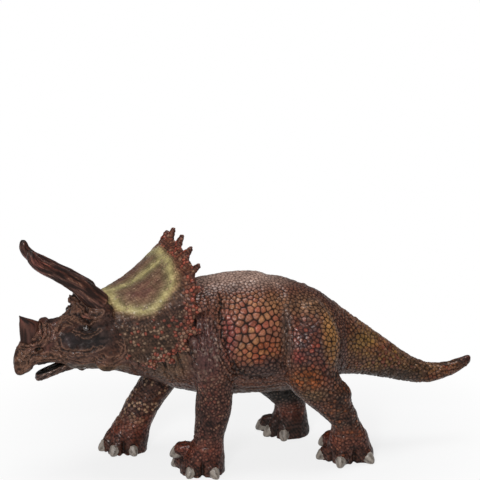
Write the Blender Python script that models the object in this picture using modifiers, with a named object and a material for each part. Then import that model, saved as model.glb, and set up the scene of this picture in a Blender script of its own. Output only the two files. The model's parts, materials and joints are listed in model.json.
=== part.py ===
"""Horned toy dinosaur figure, about 285 mm long, built as hollow and solid mouldings.

The figure stands on four feet with its head towards -X and its left side towards -Y.
Two hollow torso halves trap the flanges of the tail and of the skull, four legs plug into
keyed holes, the shield and three horns plug into the skull, and the lower jaw turns on a pin.
All sizes are in metres, +Z is up, and the feet stand on Z = 0.
"""

import math

import bmesh
import bpy
from mathutils import Matrix, Vector

# Torso: two shells that part on the middle plane
torso_length = 0.122
torso_height = 0.0754
torso_width = 0.064
belly_clearance = 0.0427
shell_wall = 0.003

# Tail
tail_length = 0.082
tail_droop = 0.0264
tail_spigot_radius = 0.008
tail_flange_radius = 0.011

# Legs
shoulder_depth = 0.030
shoulder_width = 0.026
haunch_depth = 0.040
haunch_width = 0.029
leg_spigot_radius = 0.006
leg_spigot_reach = 0.005
toe_length = 0.0130
toe_width = 0.0092
toe_height = 0.0125
claw_length = 0.0075
claw_width = 0.0070
claw_height = 0.0095

# Skull and neck
skull_length = 0.0842
skull_height = 0.050
skull_width = 0.049
head_turn = math.radians(5)
neck_spigot_radius = 0.010
neck_flange_radius = 0.014
brow_length = 0.016
brow_width = 0.011
brow_height = 0.011
cheek_length = 0.018
cheek_width = 0.008
cheek_height = 0.013
nostril_radius = 0.0018
eye_radius = 0.0034

# Horns
horn_reach = 0.0418
horn_rise = 0.0372
horn_radius = 0.0062
horn_spread = 0.0245
horn_spigot_radius = 0.003
horn_spigot_depth = 0.005
nose_horn_length = 0.013
nose_horn_width = 0.0078
nose_horn_height = 0.0189
nose_spigot_radius = 0.0018

# Shield behind the head
shield_width = 0.076
shield_height = 0.0575
shield_depth = 0.047
shield_wall = 0.003
shield_dish = 0.0060
collar_width = 0.043
collar_height = 0.0316
shield_peg_radius = 0.002
shield_peg_depth = 0.005
spike_length = 0.0075
spike_radius = 0.0033
spike_tip_radius = 0.0013
spikes_each_side = 8

# Lower jaw and its pin
jaw_length = 0.0284
jaw_width = 0.0108
jaw_depth = 0.0076
jaw_drop = 0.0072
jaw_knuckle_radius = 0.004
jaw_side_gap = 0.0004
jaw_dish_depth = 0.0032
tongue_width = 0.0050
tongue_height = 0.0030
pin_radius = 0.0013
pin_length = 0.0170
pin_gap = 0.00008
palate_rise = 0.0070

# Joins between pieces
seat_gap = 0.0003
flange_thickness = 0.0025
peg_radius = 0.0022
peg_reach = 0.004
peg_boss_radius = 0.0042
cut_overrun = 0.004
weld_distance = 0.00001

# Facets round each form
torso_sides = 24
hollow_sides = 16
leg_sides = 16
tail_sides = 16
skull_sides = 20
horn_sides = 12
round_sides = 16
ball_sides = 12
claw_sides = 8
spike_sides = 6
key_sides = 6

# Rows of the torso from the neck to the tail:
# along, centre height above the belly line, half height, half width.
# The flanks are folded in behind the shoulder and before the haunch.
torso_shares = [
    (0.00, 0.53, 0.34, 0.39),
    (0.07, 0.52, 0.38, 0.42),
    (0.13, 0.51, 0.42, 0.45),
    (0.29, 0.50, 0.48, 0.49),
    (0.35, 0.50, 0.49, 0.46),
    (0.40, 0.50, 0.50, 0.50),
    (0.50, 0.50, 0.50, 0.52),
    (0.58, 0.49, 0.50, 0.50),
    (0.64, 0.47, 0.48, 0.47),
    (0.70, 0.46, 0.47, 0.50),
    (0.79, 0.44, 0.43, 0.47),
    (0.90, 0.41, 0.37, 0.39),
    (1.00, 0.36, 0.28, 0.27),
]

# Rows of the tail from its root: along, drop, half height, half width
tail_shares = [
    (0.00, 0.00, 1.00, 1.00),
    (0.16, 0.24, 0.78, 0.77),
    (0.35, 0.55, 0.57, 0.57),
    (0.51, 0.82, 0.40, 0.42),
    (0.67, 0.98, 0.28, 0.32),
    (0.84, 0.92, 0.21, 0.25),
    (0.96, 0.76, 0.15, 0.18),
    (0.99, 0.71, 0.10, 0.12),
    (1.00, 0.69, 0.04, 0.05),
]

# Rows of each leg from the sole up: height, back, half depth, out, half width
front_left_shares = [
    (0.00, -0.04, 0.46, 0.35, 0.47),
    (0.04, -0.04, 0.46, 0.35, 0.47),
    (0.10, -0.03, 0.41, 0.37, 0.44),
    (0.19, -0.01, 0.30, 0.39, 0.36),
    (0.27, 0.00, 0.31, 0.40, 0.36),
    (0.38, 0.02, 0.35, 0.40, 0.39),
    (0.50, 0.03, 0.36, 0.39, 0.42),
    (0.62, 0.02, 0.42, 0.38, 0.46),
    (0.76, 0.00, 0.50, 0.35, 0.50),
    (0.90, 0.00, 0.40, 0.28, 0.40),
    (0.99, 0.00, 0.23, 0.22, 0.27),
]
front_right_shares = [
    (0.00, -0.40, 0.46, 0.40, 0.48),
    (0.04, -0.40, 0.46, 0.40, 0.48),
    (0.09, -0.38, 0.43, 0.40, 0.45),
    (0.16, -0.35, 0.36, 0.39, 0.38),
    (0.29, -0.28, 0.38, 0.40, 0.38),
    (0.40, -0.20, 0.41, 0.40, 0.39),
    (0.57, -0.10, 0.46, 0.38, 0.45),
    (0.76, -0.02, 0.50, 0.35, 0.50),
    (0.90, 0.00, 0.40, 0.28, 0.40),
    (0.99, 0.00, 0.23, 0.22, 0.27),
]
hind_left_shares = [
    (0.00, 0.26, 0.37, 0.34, 0.34),
    (0.05, 0.26, 0.37, 0.34, 0.34),
    (0.12, 0.25, 0.32, 0.37, 0.37),
    (0.23, 0.24, 0.25, 0.40, 0.33),
    (0.34, 0.16, 0.30, 0.40, 0.36),
    (0.45, 0.08, 0.41, 0.40, 0.41),
    (0.57, 0.02, 0.42, 0.39, 0.45),
    (0.76, 0.01, 0.50, 0.35, 0.50),
    (0.90, 0.00, 0.38, 0.26, 0.38),
    (0.98, 0.00, 0.22, 0.19, 0.26),
]
hind_right_shares = [
    (0.00, 0.01, 0.32, 0.46, 0.39),
    (0.04, 0.01, 0.32, 0.46, 0.39),
    (0.10, 0.02, 0.26, 0.45, 0.37),
    (0.19, 0.02, 0.22, 0.44, 0.33),
    (0.29, -0.04, 0.35, 0.42, 0.36),
    (0.43, -0.05, 0.40, 0.41, 0.41),
    (0.57, -0.03, 0.44, 0.39, 0.45),
    (0.76, 0.00, 0.48, 0.35, 0.47),
    (0.90, 0.00, 0.35, 0.25, 0.36),
    (0.98, 0.00, 0.20, 0.18, 0.24),
]

# Toes of each foot, from straight ahead: turn outwards as a share of a half turn,
# reach from the middle of the sole as a share of its half sizes, lift as a share of a claw
front_left_toe_shares = [
    (-0.24, 1.28, 0.00),
    (0.26, 0.92, 0.00),
    (0.60, 1.08, 0.00),
    (-0.13, 1.15, 0.90),
]
front_right_toe_shares = [
    (-0.57, 0.87, 0.00),
    (-0.28, 0.90, 0.00),
    (0.01, 0.87, 0.00),
    (0.34, 0.90, 0.00),
]
hind_left_toe_shares = [
    (-0.09, 1.10, 0.00),
    (0.36, 1.26, 0.00),
    (0.70, 1.12, 0.00),
    (-0.18, 1.10, 0.80),
]
hind_right_toe_shares = [
    (0.20, 1.38, 0.00),
    (-0.05, 0.95, 0.00),
    (-0.37, 0.95, 0.00),
    (0.52, 1.00, 0.00),
]

# Rows of the skull from behind the neck seam to the beak: forward, top, bottom, half width
skull_shares = [
    (0.10, 0.53, -0.46, 0.50),
    (0.21, 0.58, -0.39, 0.48),
    (0.33, 0.62, -0.33, 0.46),
    (0.43, 0.60, -0.31, 0.43),
    (0.51, 0.49, -0.30, 0.40),
    (0.57, 0.42, -0.28, 0.36),
    (0.62, 0.37, -0.25, 0.32),
    (0.66, 0.35, -0.21, 0.27),
    (0.72, 0.35, -0.20, 0.23),
    (0.77, 0.37, -0.22, 0.20),
    (0.81, 0.33, -0.23, 0.19),
    (0.86, 0.20, -0.25, 0.16),
    (0.91, 0.15, -0.30, 0.14),
    (0.95, 0.11, -0.33, 0.11),
    (0.98, 0.03, -0.29, 0.08),
    (1.00, -0.05, -0.21, 0.04),
]

# Brow horn from its seat to its tip: forward, rise, radius
brow_horn_shares = [
    (0.00, 0.00, 1.00),
    (0.19, 0.18, 0.88),
    (0.31, 0.30, 0.76),
    (0.44, 0.40, 0.69),
    (0.58, 0.51, 0.65),
    (0.70, 0.60, 0.61),
    (0.82, 0.68, 0.59),
    (0.91, 0.76, 0.57),
    (0.97, 0.85, 0.54),
    (0.99, 0.94, 0.46),
    (1.00, 1.00, 0.25),
]

# Nose horn from its seat to its tip: rise, forward, half length, half width
nose_horn_shares = [
    (0.00, 0.00, 0.54, 0.50),
    (0.37, 0.04, 0.52, 0.45),
    (0.66, 0.08, 0.50, 0.35),
    (0.78, 0.20, 0.38, 0.27),
    (0.90, 0.42, 0.16, 0.18),
    (1.00, 0.58, 0.05, 0.06),
]

# Lower jaw from its knuckle to its tip: forward, drop, half height, half width
jaw_shares = [
    (0.00, -0.05, 0.45, 0.46),
    (0.15, 0.00, 0.44, 0.46),
    (0.40, 0.20, 0.42, 0.47),
    (0.62, 0.45, 0.42, 0.45),
    (0.80, 0.68, 0.42, 0.40),
    (0.94, 0.86, 0.39, 0.30),
    (1.00, 0.92, 0.27, 0.18),
]

# Half of the shield's rim, from the middle down: out from the collar as a share of how much
# wider the shield is, up and back
shield_rim_shares = [
    (0.00, 1.00, 1.00),
    (0.23, 0.99, 1.00),
    (0.44, 0.91, 1.01),
    (0.56, 0.76, 1.00),
    (0.57, 0.57, 0.98),
    (0.51, 0.35, 0.96),
    (0.45, 0.14, 0.90),
    (0.34, -0.02, 0.75),
    (0.28, -0.10, 0.55),
    (0.23, -0.13, 0.36),
]

# Half of the shield's collar, from the middle down: out, up, back
shield_collar_shares = [
    (0.00, 1.00, 0.00),
    (0.16, 0.97, 0.01),
    (0.29, 0.89, 0.02),
    (0.40, 0.75, 0.03),
    (0.45, 0.59, 0.04),
    (0.49, 0.42, 0.04),
    (0.50, 0.26, 0.05),
    (0.50, 0.11, 0.05),
    (0.49, -0.01, 0.05),
    (0.46, -0.12, 0.05),
]

# Depth of the shield's dish from collar to rim
shield_dish_shares = [0.00, 0.55, 0.95, 1.00, 0.75, 0.30, 0.00]

# Places on the pieces that carry them, as shares of those pieces
shoulder_along_share = 0.28
hip_along_share = 0.78
leg_top_share = 0.83
spigot_height_share = 0.50
toe_back_share = 0.42
toe_height_share = 0.30
claw_height_share = 0.34
peg_places_shares = ((0.20, 0.86), (0.72, 0.80), (0.48, 0.10))
nostril_forward_share = 0.84
nostril_up_share = 0.04
nostril_out_share = 0.15
eye_forward_share = 0.52
eye_up_share = 0.33
eye_out_share = 0.39
brow_forward_share = 0.43
brow_up_share = 0.45
brow_out_share = 0.28
cheek_forward_share = 0.35
cheek_up_share = -0.13
cheek_out_share = 0.37
horn_forward_share = 0.39
horn_up_share = 0.58
nose_horn_forward_share = 0.87
nose_horn_up_share = 0.07
shield_start_share = 0.32
shield_fade_share = 0.45
hinge_forward_share = 0.50
hinge_up_share = -0.24
skull_taper_share = 0.12
slot_front_share = 1.12
dish_forward_share = 0.62
dish_drop_share = 0.50
dish_rise_share = 0.42

# Angles and roundness of the forms: a roundness of 1 is a true oval, and less is squarer
claw_pitch = math.radians(24)
leg_roundness = 0.90
jaw_roundness = 0.80

# Places that several pieces share
neck_x = -torso_length / 2
tail_x = torso_length / 2
leg_top = belly_clearance + torso_height * leg_top_share
neck_z = belly_clearance + torso_height * torso_shares[0][1]
tail_z = belly_clearance + torso_height * torso_shares[-1][1]
shoulder_x = neck_x + torso_length * shoulder_along_share
hip_x = neck_x + torso_length * hip_along_share
hinge_x = -skull_length * hinge_forward_share
hinge_z = neck_z + skull_height * hinge_up_share
slot_half_width = jaw_width / 2 + jaw_side_gap
round_turn = 2 * math.pi


def clear_scene():
    """Remove every object and collection the scene starts with."""
    for old in list(bpy.data.objects):
        bpy.data.objects.remove(old, do_unlink=True)
    for old in list(bpy.data.collections):
        bpy.data.collections.remove(old)


def new_collection(name):
    group = bpy.data.collections.new(name)
    bpy.context.scene.collection.children.link(group)
    return group


def paint(name, colour, roughness):
    """A plain moulded plastic in one colour."""
    material = bpy.data.materials.new(name)
    material.use_nodes = True
    shader = material.node_tree.nodes["Principled BSDF"]
    shader.inputs["Base Color"].default_value = (*colour, 1.0)
    shader.inputs["Roughness"].default_value = roughness
    shader.inputs["Metallic"].default_value = 0.0
    material.diffuse_color = (*colour, 1.0)
    return material


def blend_rows(rows, steps):
    """Rows on a smooth curve through the given rows, with steps from each to the next."""
    out = []
    last = len(rows) - 1
    for index in range(last):
        before = rows[max(index - 1, 0)]
        start = rows[index]
        end = rows[index + 1]
        after = rows[min(index + 2, last)]
        for step in range(steps):
            t = step / steps
            out.append(tuple(
                b + (c - a) * t / 2
                + (2 * a - 5 * b + 4 * c - d) * t ** 2 / 2
                + (3 * b - a - 3 * c + d) * t ** 3 / 2
                for a, b, c, d in zip(before, start, end, after)
            ))
    out.append(tuple(rows[-1]))
    return out


def signed_power(value, power):
    return math.copysign(abs(value) ** power, value)


def oval(centre, across, up, sides, power=1.0, taper=0.0):
    """A ring of points round a centre, reaching along two half axes.

    A power under 1 squares the ring off, and a taper draws its top in.
    """
    ring = []
    for index in range(sides):
        angle = round_turn * index / sides
        side = signed_power(math.cos(angle), power)
        lift = signed_power(math.sin(angle), power)
        ring.append(centre + across * side * (1 - taper * lift) + up * lift)
    return ring


def loft_mesh(name, rings):
    """A closed mesh through rings of equal counts, with a face across each end."""
    work = bmesh.new()
    loops = [[work.verts.new(point) for point in ring] for ring in rings]
    sides = len(loops[0])
    for near, far in zip(loops, loops[1:]):
        for index in range(sides):
            after = (index + 1) % sides
            work.faces.new((near[index], near[after], far[after], far[index]))
    work.faces.new(loops[0])
    work.faces.new(loops[-1])
    bmesh.ops.recalc_face_normals(work, faces=work.faces)
    mesh = bpy.data.meshes.new(name)
    work.to_mesh(mesh)
    work.free()
    return mesh


def add_object(name, mesh, group, parent, material=None):
    """An object for a mesh, in a collection and under a parent."""
    thing = bpy.data.objects.new(name, mesh)
    group.objects.link(thing)
    thing.parent = parent
    if material is not None:
        mesh.materials.append(material)
    return thing


def add_cutter(name, mesh, parent):
    """A hidden form that shapes other pieces."""
    thing = add_object(name, mesh, cutters, parent)
    thing.hide_render = True
    thing.display_type = "WIRE"
    return thing


def shape(target, tool, operation):
    """Cut, join or keep the overlap of a target with a tool."""
    step = target.modifiers.new(tool.name, "BOOLEAN")
    step.operation = operation
    step.solver = "EXACT"
    step.object = tool


def cylinder_mesh(name, start, end, radius, sides, end_radius=None):
    """A closed cylinder or cone between two points."""
    axis = end - start
    work = bmesh.new()
    middle = (start + end) / 2
    turn = axis.to_track_quat("Z", "Y").to_matrix().to_4x4()
    bmesh.ops.create_cone(
        work,
        cap_ends=True,
        segments=sides,
        radius1=radius,
        radius2=radius if end_radius is None else end_radius,
        depth=axis.length,
        matrix=Matrix.Translation(middle) @ turn,
    )
    mesh = bpy.data.meshes.new(name)
    work.to_mesh(mesh)
    work.free()
    return mesh


def ball_mesh(name, centre, half_sizes, sides, pitch=0.0, heading=0.0):
    """A stretched ball, pitched about its own cross axis and then turned about Z."""
    work = bmesh.new()
    place = Matrix.Translation(centre)
    place = place @ Matrix.Rotation(heading, 4, "Z") @ Matrix.Rotation(pitch, 4, "Y")
    place = place @ Matrix.Diagonal((*half_sizes, 1.0))
    bmesh.ops.create_uvsphere(
        work,
        u_segments=sides,
        v_segments=max(sides // 2, 4),
        radius=1.0,
        matrix=place,
    )
    mesh = bpy.data.meshes.new(name)
    work.to_mesh(mesh)
    work.free()
    return mesh


def box_mesh(name, low, high):
    """A box between two corners."""
    low = Vector(low)
    high = Vector(high)
    work = bmesh.new()
    place = Matrix.Translation((low + high) / 2) @ Matrix.Diagonal((*(high - low), 1.0))
    bmesh.ops.create_cube(work, size=1.0, matrix=place)
    mesh = bpy.data.meshes.new(name)
    work.to_mesh(mesh)
    work.free()
    return mesh


def torso_rings(growth, sides, steps):
    """Upright rings of the torso, grown by a distance all round and at both ends."""
    rings = []
    rows = blend_rows(torso_shares, steps)
    for index, (along, height, tall, wide) in enumerate(rows):
        x = neck_x + torso_length * along
        if index == 0:
            x -= growth
        if index == len(rows) - 1:
            x += growth
        centre = Vector((x, 0, belly_clearance + torso_height * height))
        across = Vector((0, torso_width * wide + growth, 0))
        up = Vector((0, 0, torso_height * tall + growth))
        rings.append(oval(centre, across, up, sides))
    return rings


def torso_half_width(x, z):
    """How far the torso's skin stands from the middle plane at a place."""
    rows = blend_rows(torso_shares, 4)
    along = (x - neck_x) / torso_length
    row = min(rows, key=lambda item: abs(item[0] - along))
    lift = (z - belly_clearance - torso_height * row[1]) / (torso_height * row[2])
    return torso_width * row[3] * math.sqrt(max(1 - lift ** 2, 0))


def tail_rings():
    """Upright rings of the tail, starting at the torso's rear face."""
    root_tall = torso_height * torso_shares[-1][2]
    root_wide = torso_width * torso_shares[-1][3]
    start = tail_x + seat_gap
    rings = []
    for along, drop, tall, wide in blend_rows(tail_shares, 2):
        centre = Vector((start + tail_length * along, 0, tail_z - tail_droop * drop))
        across = Vector((0, root_wide * wide, 0))
        up = Vector((0, 0, root_tall * tall))
        rings.append(oval(centre, across, up, tail_sides))
    return rings


def leg_rings(shares, root_x, depth, width, side):
    """Level rings of a leg from its sole to its top."""
    rings = []
    for height, back, half_depth, out, half_width in blend_rows(shares, 2):
        centre = Vector((
            root_x + leg_top * back,
            side * torso_width * out,
            leg_top * max(height, 0.0),
        ))
        across = Vector((depth * half_depth, 0, 0))
        along = Vector((0, width * half_width, 0))
        rings.append(oval(centre, across, along, leg_sides, power=leg_roundness))
    return rings


def skull_rings(growth):
    """Upright rings of the skull, from inside the neck to the beak."""
    neck_tall = torso_height * torso_shares[0][2]
    neck_wide = torso_width * torso_shares[0][3]
    neck_share = neck_tall / skull_height
    first = (-cut_overrun / skull_length, neck_share, -neck_share, neck_wide / skull_width)
    rows = blend_rows([first] + skull_shares, 2)
    rings = []
    for index, (forward, top, bottom, wide) in enumerate(rows):
        x = -skull_length * forward
        if index == len(rows) - 1:
            x -= growth
        middle = neck_z + skull_height * (top + bottom) / 2
        centre = Vector((x, 0, middle))
        across = Vector((0, skull_width * wide + growth, 0))
        up = Vector((0, 0, skull_height * (top - bottom) / 2 + growth))
        rings.append(oval(centre, across, up, skull_sides, taper=skull_taper_share))
    return rings


def brow_mesh(name, side, growth):
    """The swelling over an eye that carries a brow horn."""
    centre = Vector((
        -skull_length * brow_forward_share,
        side * skull_width * brow_out_share,
        neck_z + skull_height * brow_up_share,
    ))
    half = (brow_length / 2 + growth, brow_width / 2 + growth, brow_height / 2 + growth)
    return ball_mesh(name, centre, half, ball_sides)


def cheek_mesh(name, side, growth):
    """The pointed swelling at the rear corner of a cheek."""
    centre = Vector((
        -skull_length * cheek_forward_share,
        side * skull_width * cheek_out_share,
        neck_z + skull_height * cheek_up_share,
    ))
    half = (cheek_length / 2 + growth, cheek_width / 2 + growth, cheek_height / 2 + growth)
    return ball_mesh(name, centre, half, ball_sides)


def brow_horn_points(side):
    """Centre points and radii of a brow horn, in the head's own frame."""
    start = Vector((
        -skull_length * horn_forward_share,
        side * horn_spread / 2,
        neck_z + skull_height * horn_up_share,
    ))
    points = []
    for forward, rise, radius in brow_horn_shares:
        place = start + Vector((-horn_reach * forward, 0, horn_rise * rise))
        points.append((place, horn_radius * radius))
    return points


def nose_horn_start():
    return Vector((
        -skull_length * nose_horn_forward_share,
        0,
        neck_z + skull_height * nose_horn_up_share,
    ))


def shield_point(side_share, run_share):
    """A place on the shield's outer skin.

    side_share runs from -1 at the left end over 0 at the keel to 1 at the right end,
    and run_share from 0 at the collar to 1 at the rim.
    """
    place = abs(side_share) * (len(shield_rim_shares) - 1)
    index = min(int(place), len(shield_rim_shares) - 2)
    t = place - index
    rim = [a + (b - a) * t for a, b in zip(shield_rim_shares[index], shield_rim_shares[index + 1])]
    collar = [
        a + (b - a) * t
        for a, b in zip(shield_collar_shares[index], shield_collar_shares[index + 1])
    ]
    side = math.copysign(1.0, side_share)
    start_x = -skull_length * shield_start_share
    outer = Vector((
        start_x + shield_depth * rim[2],
        side * (collar_width * collar[0] + (shield_width - collar_width) * rim[0]),
        neck_z + shield_height * rim[1],
    ))
    inner = Vector((
        start_x + shield_depth * collar[2],
        side * collar_width * collar[0],
        neck_z + collar_height * collar[1],
    ))
    run = run_share * (len(shield_dish_shares) - 1)
    step = min(int(run), len(shield_dish_shares) - 2)
    low = shield_dish_shares[step]
    dish = low + (shield_dish_shares[step + 1] - low) * (run - step)
    outward = Vector((0, inner.y, inner.z - neck_z)).normalized()
    fade = max(1 - abs(side_share) / shield_fade_share, 0)
    return inner.lerp(outer, run_share) - outward * shield_dish * dish * fade


def make_torso(skin):
    """The two hollow halves, with pegs in the left one and sockets in the right one."""
    outer = loft_mesh("torso_outer", torso_rings(0, torso_sides, 2))
    hollow = loft_mesh("torso_hollow", torso_rings(-shell_wall, hollow_sides, 1))
    inner = add_cutter("torso_hollow", hollow, root)
    reach = torso_width
    halves = []
    for name, side in (("torso_left_shell", -1), ("torso_right_shell", 1)):
        half = add_object(name, outer.copy(), skin_parts, root, skin)
        low = min(side * seat_gap / 2, side * reach)
        high = max(side * seat_gap / 2, side * reach)
        keep = box_mesh(
            name + "_side",
            (neck_x - reach, low, 0),
            (tail_x + reach, high, belly_clearance + torso_height + reach),
        )
        shape(half, inner, "DIFFERENCE")
        shape(half, add_cutter(name + "_side", keep, root), "INTERSECT")
        halves.append(half)
    bpy.data.meshes.remove(outer)
    return halves


def make_pegs(left, right):
    """Locating pegs on the left half that slide into bosses on the right half."""
    for number, (along, up) in enumerate(peg_places_shares):
        x = neck_x + torso_length * along
        z = belly_clearance + torso_height * up
        edges = (z - peg_boss_radius, z + peg_boss_radius)
        reach = min(torso_half_width(x, edge) for edge in edges) - shell_wall / 2
        left_wall = Vector((x, -reach, z))
        right_wall = Vector((x, reach, z))
        seam = Vector((x, 0, z))
        step = Vector((0, seat_gap / 2, 0))
        peg_end = seam + Vector((0, peg_reach, 0))
        socket_end = peg_end + Vector((0, seat_gap, 0))
        left_boss = cylinder_mesh("left_boss", left_wall, seam - step, peg_boss_radius, round_sides)
        peg = cylinder_mesh("peg", left_wall, peg_end, peg_radius, round_sides)
        boss = cylinder_mesh("boss", seam + step, right_wall, peg_boss_radius, round_sides)
        socket = cylinder_mesh("socket", seam - step, socket_end, peg_radius + seat_gap, round_sides)
        label = f"_{number}"
        shape(left, add_cutter("left_boss" + label, left_boss, root), "UNION")
        shape(left, add_cutter("peg" + label, peg, root), "UNION")
        shape(right, add_cutter("right_boss" + label, boss, root), "UNION")
        shape(right, add_cutter("socket" + label, socket, root), "DIFFERENCE")


def make_tail(skin, halves):
    """The tail, held by a flange inside the torso's rear wall."""
    tail = add_object("tail", loft_mesh("tail", tail_rings()), skin_parts, root, skin)
    wall_inside = tail_x - shell_wall
    flange_front = wall_inside - seat_gap - flange_thickness
    face = Vector((tail_x + cut_overrun, 0, tail_z))
    inside = Vector((flange_front, 0, tail_z))
    neck = cylinder_mesh("tail_spigot", inside, face, tail_spigot_radius, round_sides)
    rim = Vector((wall_inside - seat_gap, 0, tail_z))
    flange = cylinder_mesh("tail_flange", inside, rim, tail_flange_radius, round_sides)
    shape(tail, add_cutter("tail_spigot", neck, root), "UNION")
    shape(tail, add_cutter("tail_flange", flange, root), "UNION")
    hole_start = Vector((flange_front, 0, tail_z))
    hole = cylinder_mesh("tail_hole", hole_start, face, tail_spigot_radius + seat_gap, round_sides)
    hole_form = add_cutter("tail_hole", hole, root)
    for half in halves:
        shape(half, hole_form, "DIFFERENCE")
    return tail


def make_toes(leg, name, plan):
    """Toes that spread from the middle of a foot, each ending in a blunt nail."""
    shares, root_x, depth, width, side, toe_shares = plan
    _, back, half_depth, out, half_width = shares[0]
    centre = Vector((root_x + leg_top * back, side * torso_width * out, 0))
    for number, (turn, reach_share, lift) in enumerate(toe_shares):
        angle = math.pi * turn
        away = Vector((-math.cos(angle), side * math.sin(angle), 0))
        reach = Vector((away.x * depth * half_depth, away.y * width * half_width, 0))
        rise = claw_height * lift
        place = centre + reach * reach_share
        place.z = claw_height * claw_height_share + rise
        heading = math.atan2(away.y, away.x)
        half = (claw_length / 2, claw_width / 2, claw_height / 2)
        claw = ball_mesh("claw", place, half, claw_sides, -claw_pitch, heading)
        middle = place - away * toe_length * toe_back_share
        middle.z = toe_height * toe_height_share + rise
        half = (toe_length / 2, toe_width / 2, toe_height / 2)
        toe = ball_mesh("toe", middle, half, claw_sides, 0, heading)
        shape(leg, add_cutter(f"{name}_toe_{number}", toe, root), "UNION")
        shape(leg, add_cutter(f"{name}_claw_{number}", claw, root), "UNION")


def make_leg(name, material, shell, plan):
    """A leg cut to the torso's skin, with a keyed spigot through the shell's wall."""
    shares, root_x, depth, width, side, _ = plan
    rings = leg_rings(shares, root_x, depth, width, side)
    leg = add_object(name, loft_mesh(name, rings), skin_parts, root, material)
    make_toes(leg, name, plan)
    reach = torso_length
    floor_low = (root_x - reach, -reach, -reach)
    floor_high = (root_x + reach, reach, 0)
    shape(leg, add_cutter(name + "_floor", box_mesh("floor", floor_low, floor_high), root), "DIFFERENCE")
    shape(leg, torso_grown, "DIFFERENCE")
    z = belly_clearance + torso_height * spigot_height_share
    skin_y = torso_half_width(root_x, z)
    inner_y = skin_y - shell_wall - leg_spigot_reach
    start = Vector((root_x, side * (skin_y + shell_wall), z))
    end = Vector((root_x, side * inner_y, z))
    spigot = cylinder_mesh("spigot", start, end, leg_spigot_radius, key_sides)
    shape(leg, add_cutter(name + "_spigot", spigot, root), "UNION")
    hole_end = Vector((root_x, side * (inner_y - cut_overrun), z))
    hole = cylinder_mesh("hole", start, hole_end, leg_spigot_radius + seat_gap, key_sides)
    shape(shell, add_cutter(name + "_hole", hole, root), "DIFFERENCE")
    return leg


def make_legs(skin, left, right):
    plans = {
        "front_left_leg": (
            front_left_shares, shoulder_x, shoulder_depth, shoulder_width, -1,
            front_left_toe_shares,
        ),
        "front_right_leg": (
            front_right_shares, shoulder_x, shoulder_depth, shoulder_width, 1,
            front_right_toe_shares,
        ),
        "hind_left_leg": (
            hind_left_shares, hip_x, haunch_depth, haunch_width, -1,
            hind_left_toe_shares,
        ),
        "hind_right_leg": (
            hind_right_shares, hip_x, haunch_depth, haunch_width, 1,
            hind_right_toe_shares,
        ),
    }
    for name, plan in plans.items():
        make_leg(name, skin, left if plan[4] < 0 else right, plan)


def make_skull(skin, halves):
    """The skull and neck, with the jaw's slot, eye and nostril hollows and a neck flange."""
    skull = add_object("skull", loft_mesh("skull", skull_rings(0)), skin_parts, head, skin)
    for side, word in ((-1, "left"), (1, "right")):
        shape(skull, add_cutter(word + "_brow", brow_mesh("brow", side, 0), head), "UNION")
        shape(skull, add_cutter(word + "_cheek", cheek_mesh("cheek", side, 0), head), "UNION")
    reach = torso_length
    behind = box_mesh("behind_neck", (neck_x - seat_gap, -reach, 0), (tail_x, reach, 2 * reach))
    shape(skull, add_cutter("behind_neck", behind, root), "DIFFERENCE")
    wall_inside = neck_x + shell_wall
    flange_end = Vector((wall_inside + seat_gap + flange_thickness, 0, neck_z))
    flange_start = Vector((wall_inside + seat_gap, 0, neck_z))
    face = Vector((neck_x - cut_overrun, 0, neck_z))
    spigot = cylinder_mesh("neck_spigot", face, flange_end, neck_spigot_radius, round_sides)
    flange = cylinder_mesh("neck_flange", flange_start, flange_end, neck_flange_radius, round_sides)
    shape(skull, add_cutter("neck_spigot", spigot, root), "UNION")
    shape(skull, add_cutter("neck_flange", flange, root), "UNION")
    hole = cylinder_mesh("neck_hole", face, flange_end, neck_spigot_radius + seat_gap, round_sides)
    hole_form = add_cutter("neck_hole", hole, root)
    for half in halves:
        shape(half, hole_form, "DIFFERENCE")
    make_face_hollows(skull)
    make_jaw_slot(skull)
    return skull


def make_face_hollows(skull):
    """Nostrils and the sockets under the brows, each with an eyeball left standing."""
    for side, word in ((-1, "left"), (1, "right")):
        nostril = Vector((
            -skull_length * nostril_forward_share,
            side * skull_width * nostril_out_share,
            neck_z + skull_height * nostril_up_share,
        ))
        pit = ball_mesh(
            "nostril", nostril, (nostril_radius * 2, nostril_radius * 2, nostril_radius), ball_sides,
        )
        shape(skull, add_cutter(word + "_nostril", pit, head), "DIFFERENCE")
        eye = Vector((
            -skull_length * eye_forward_share,
            side * skull_width * eye_out_share,
            neck_z + skull_height * eye_up_share,
        ))
        wide = eye_radius * 2
        socket = ball_mesh("socket", eye, (wide, eye_radius, eye_radius * 3 / 2), ball_sides)
        ball = ball_mesh("eye", eye - Vector((0, side * eye_radius / 2, 0)), (eye_radius,) * 3, ball_sides)
        shape(skull, add_cutter(word + "_socket", socket, head), "DIFFERENCE")
        shape(skull, add_cutter(word + "_eye", ball, head), "UNION")


def make_jaw_slot(skull):
    """The slot that the jaw swings in, and the pin's holes through both cheeks."""
    slot = box_mesh(
        "jaw_slot",
        (hinge_x - jaw_length * slot_front_share, -slot_half_width, 0),
        (hinge_x + jaw_knuckle_radius + seat_gap, slot_half_width, hinge_z + palate_rise),
    )
    shape(skull, add_cutter("jaw_slot", slot, head), "DIFFERENCE")
    start = Vector((hinge_x, -skull_width, hinge_z))
    end = Vector((hinge_x, skull_width, hinge_z))
    hole = cylinder_mesh("pin_hole", start, end, pin_radius + pin_gap, round_sides)
    shape(skull, add_cutter("pin_hole", hole, head), "DIFFERENCE")


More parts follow.
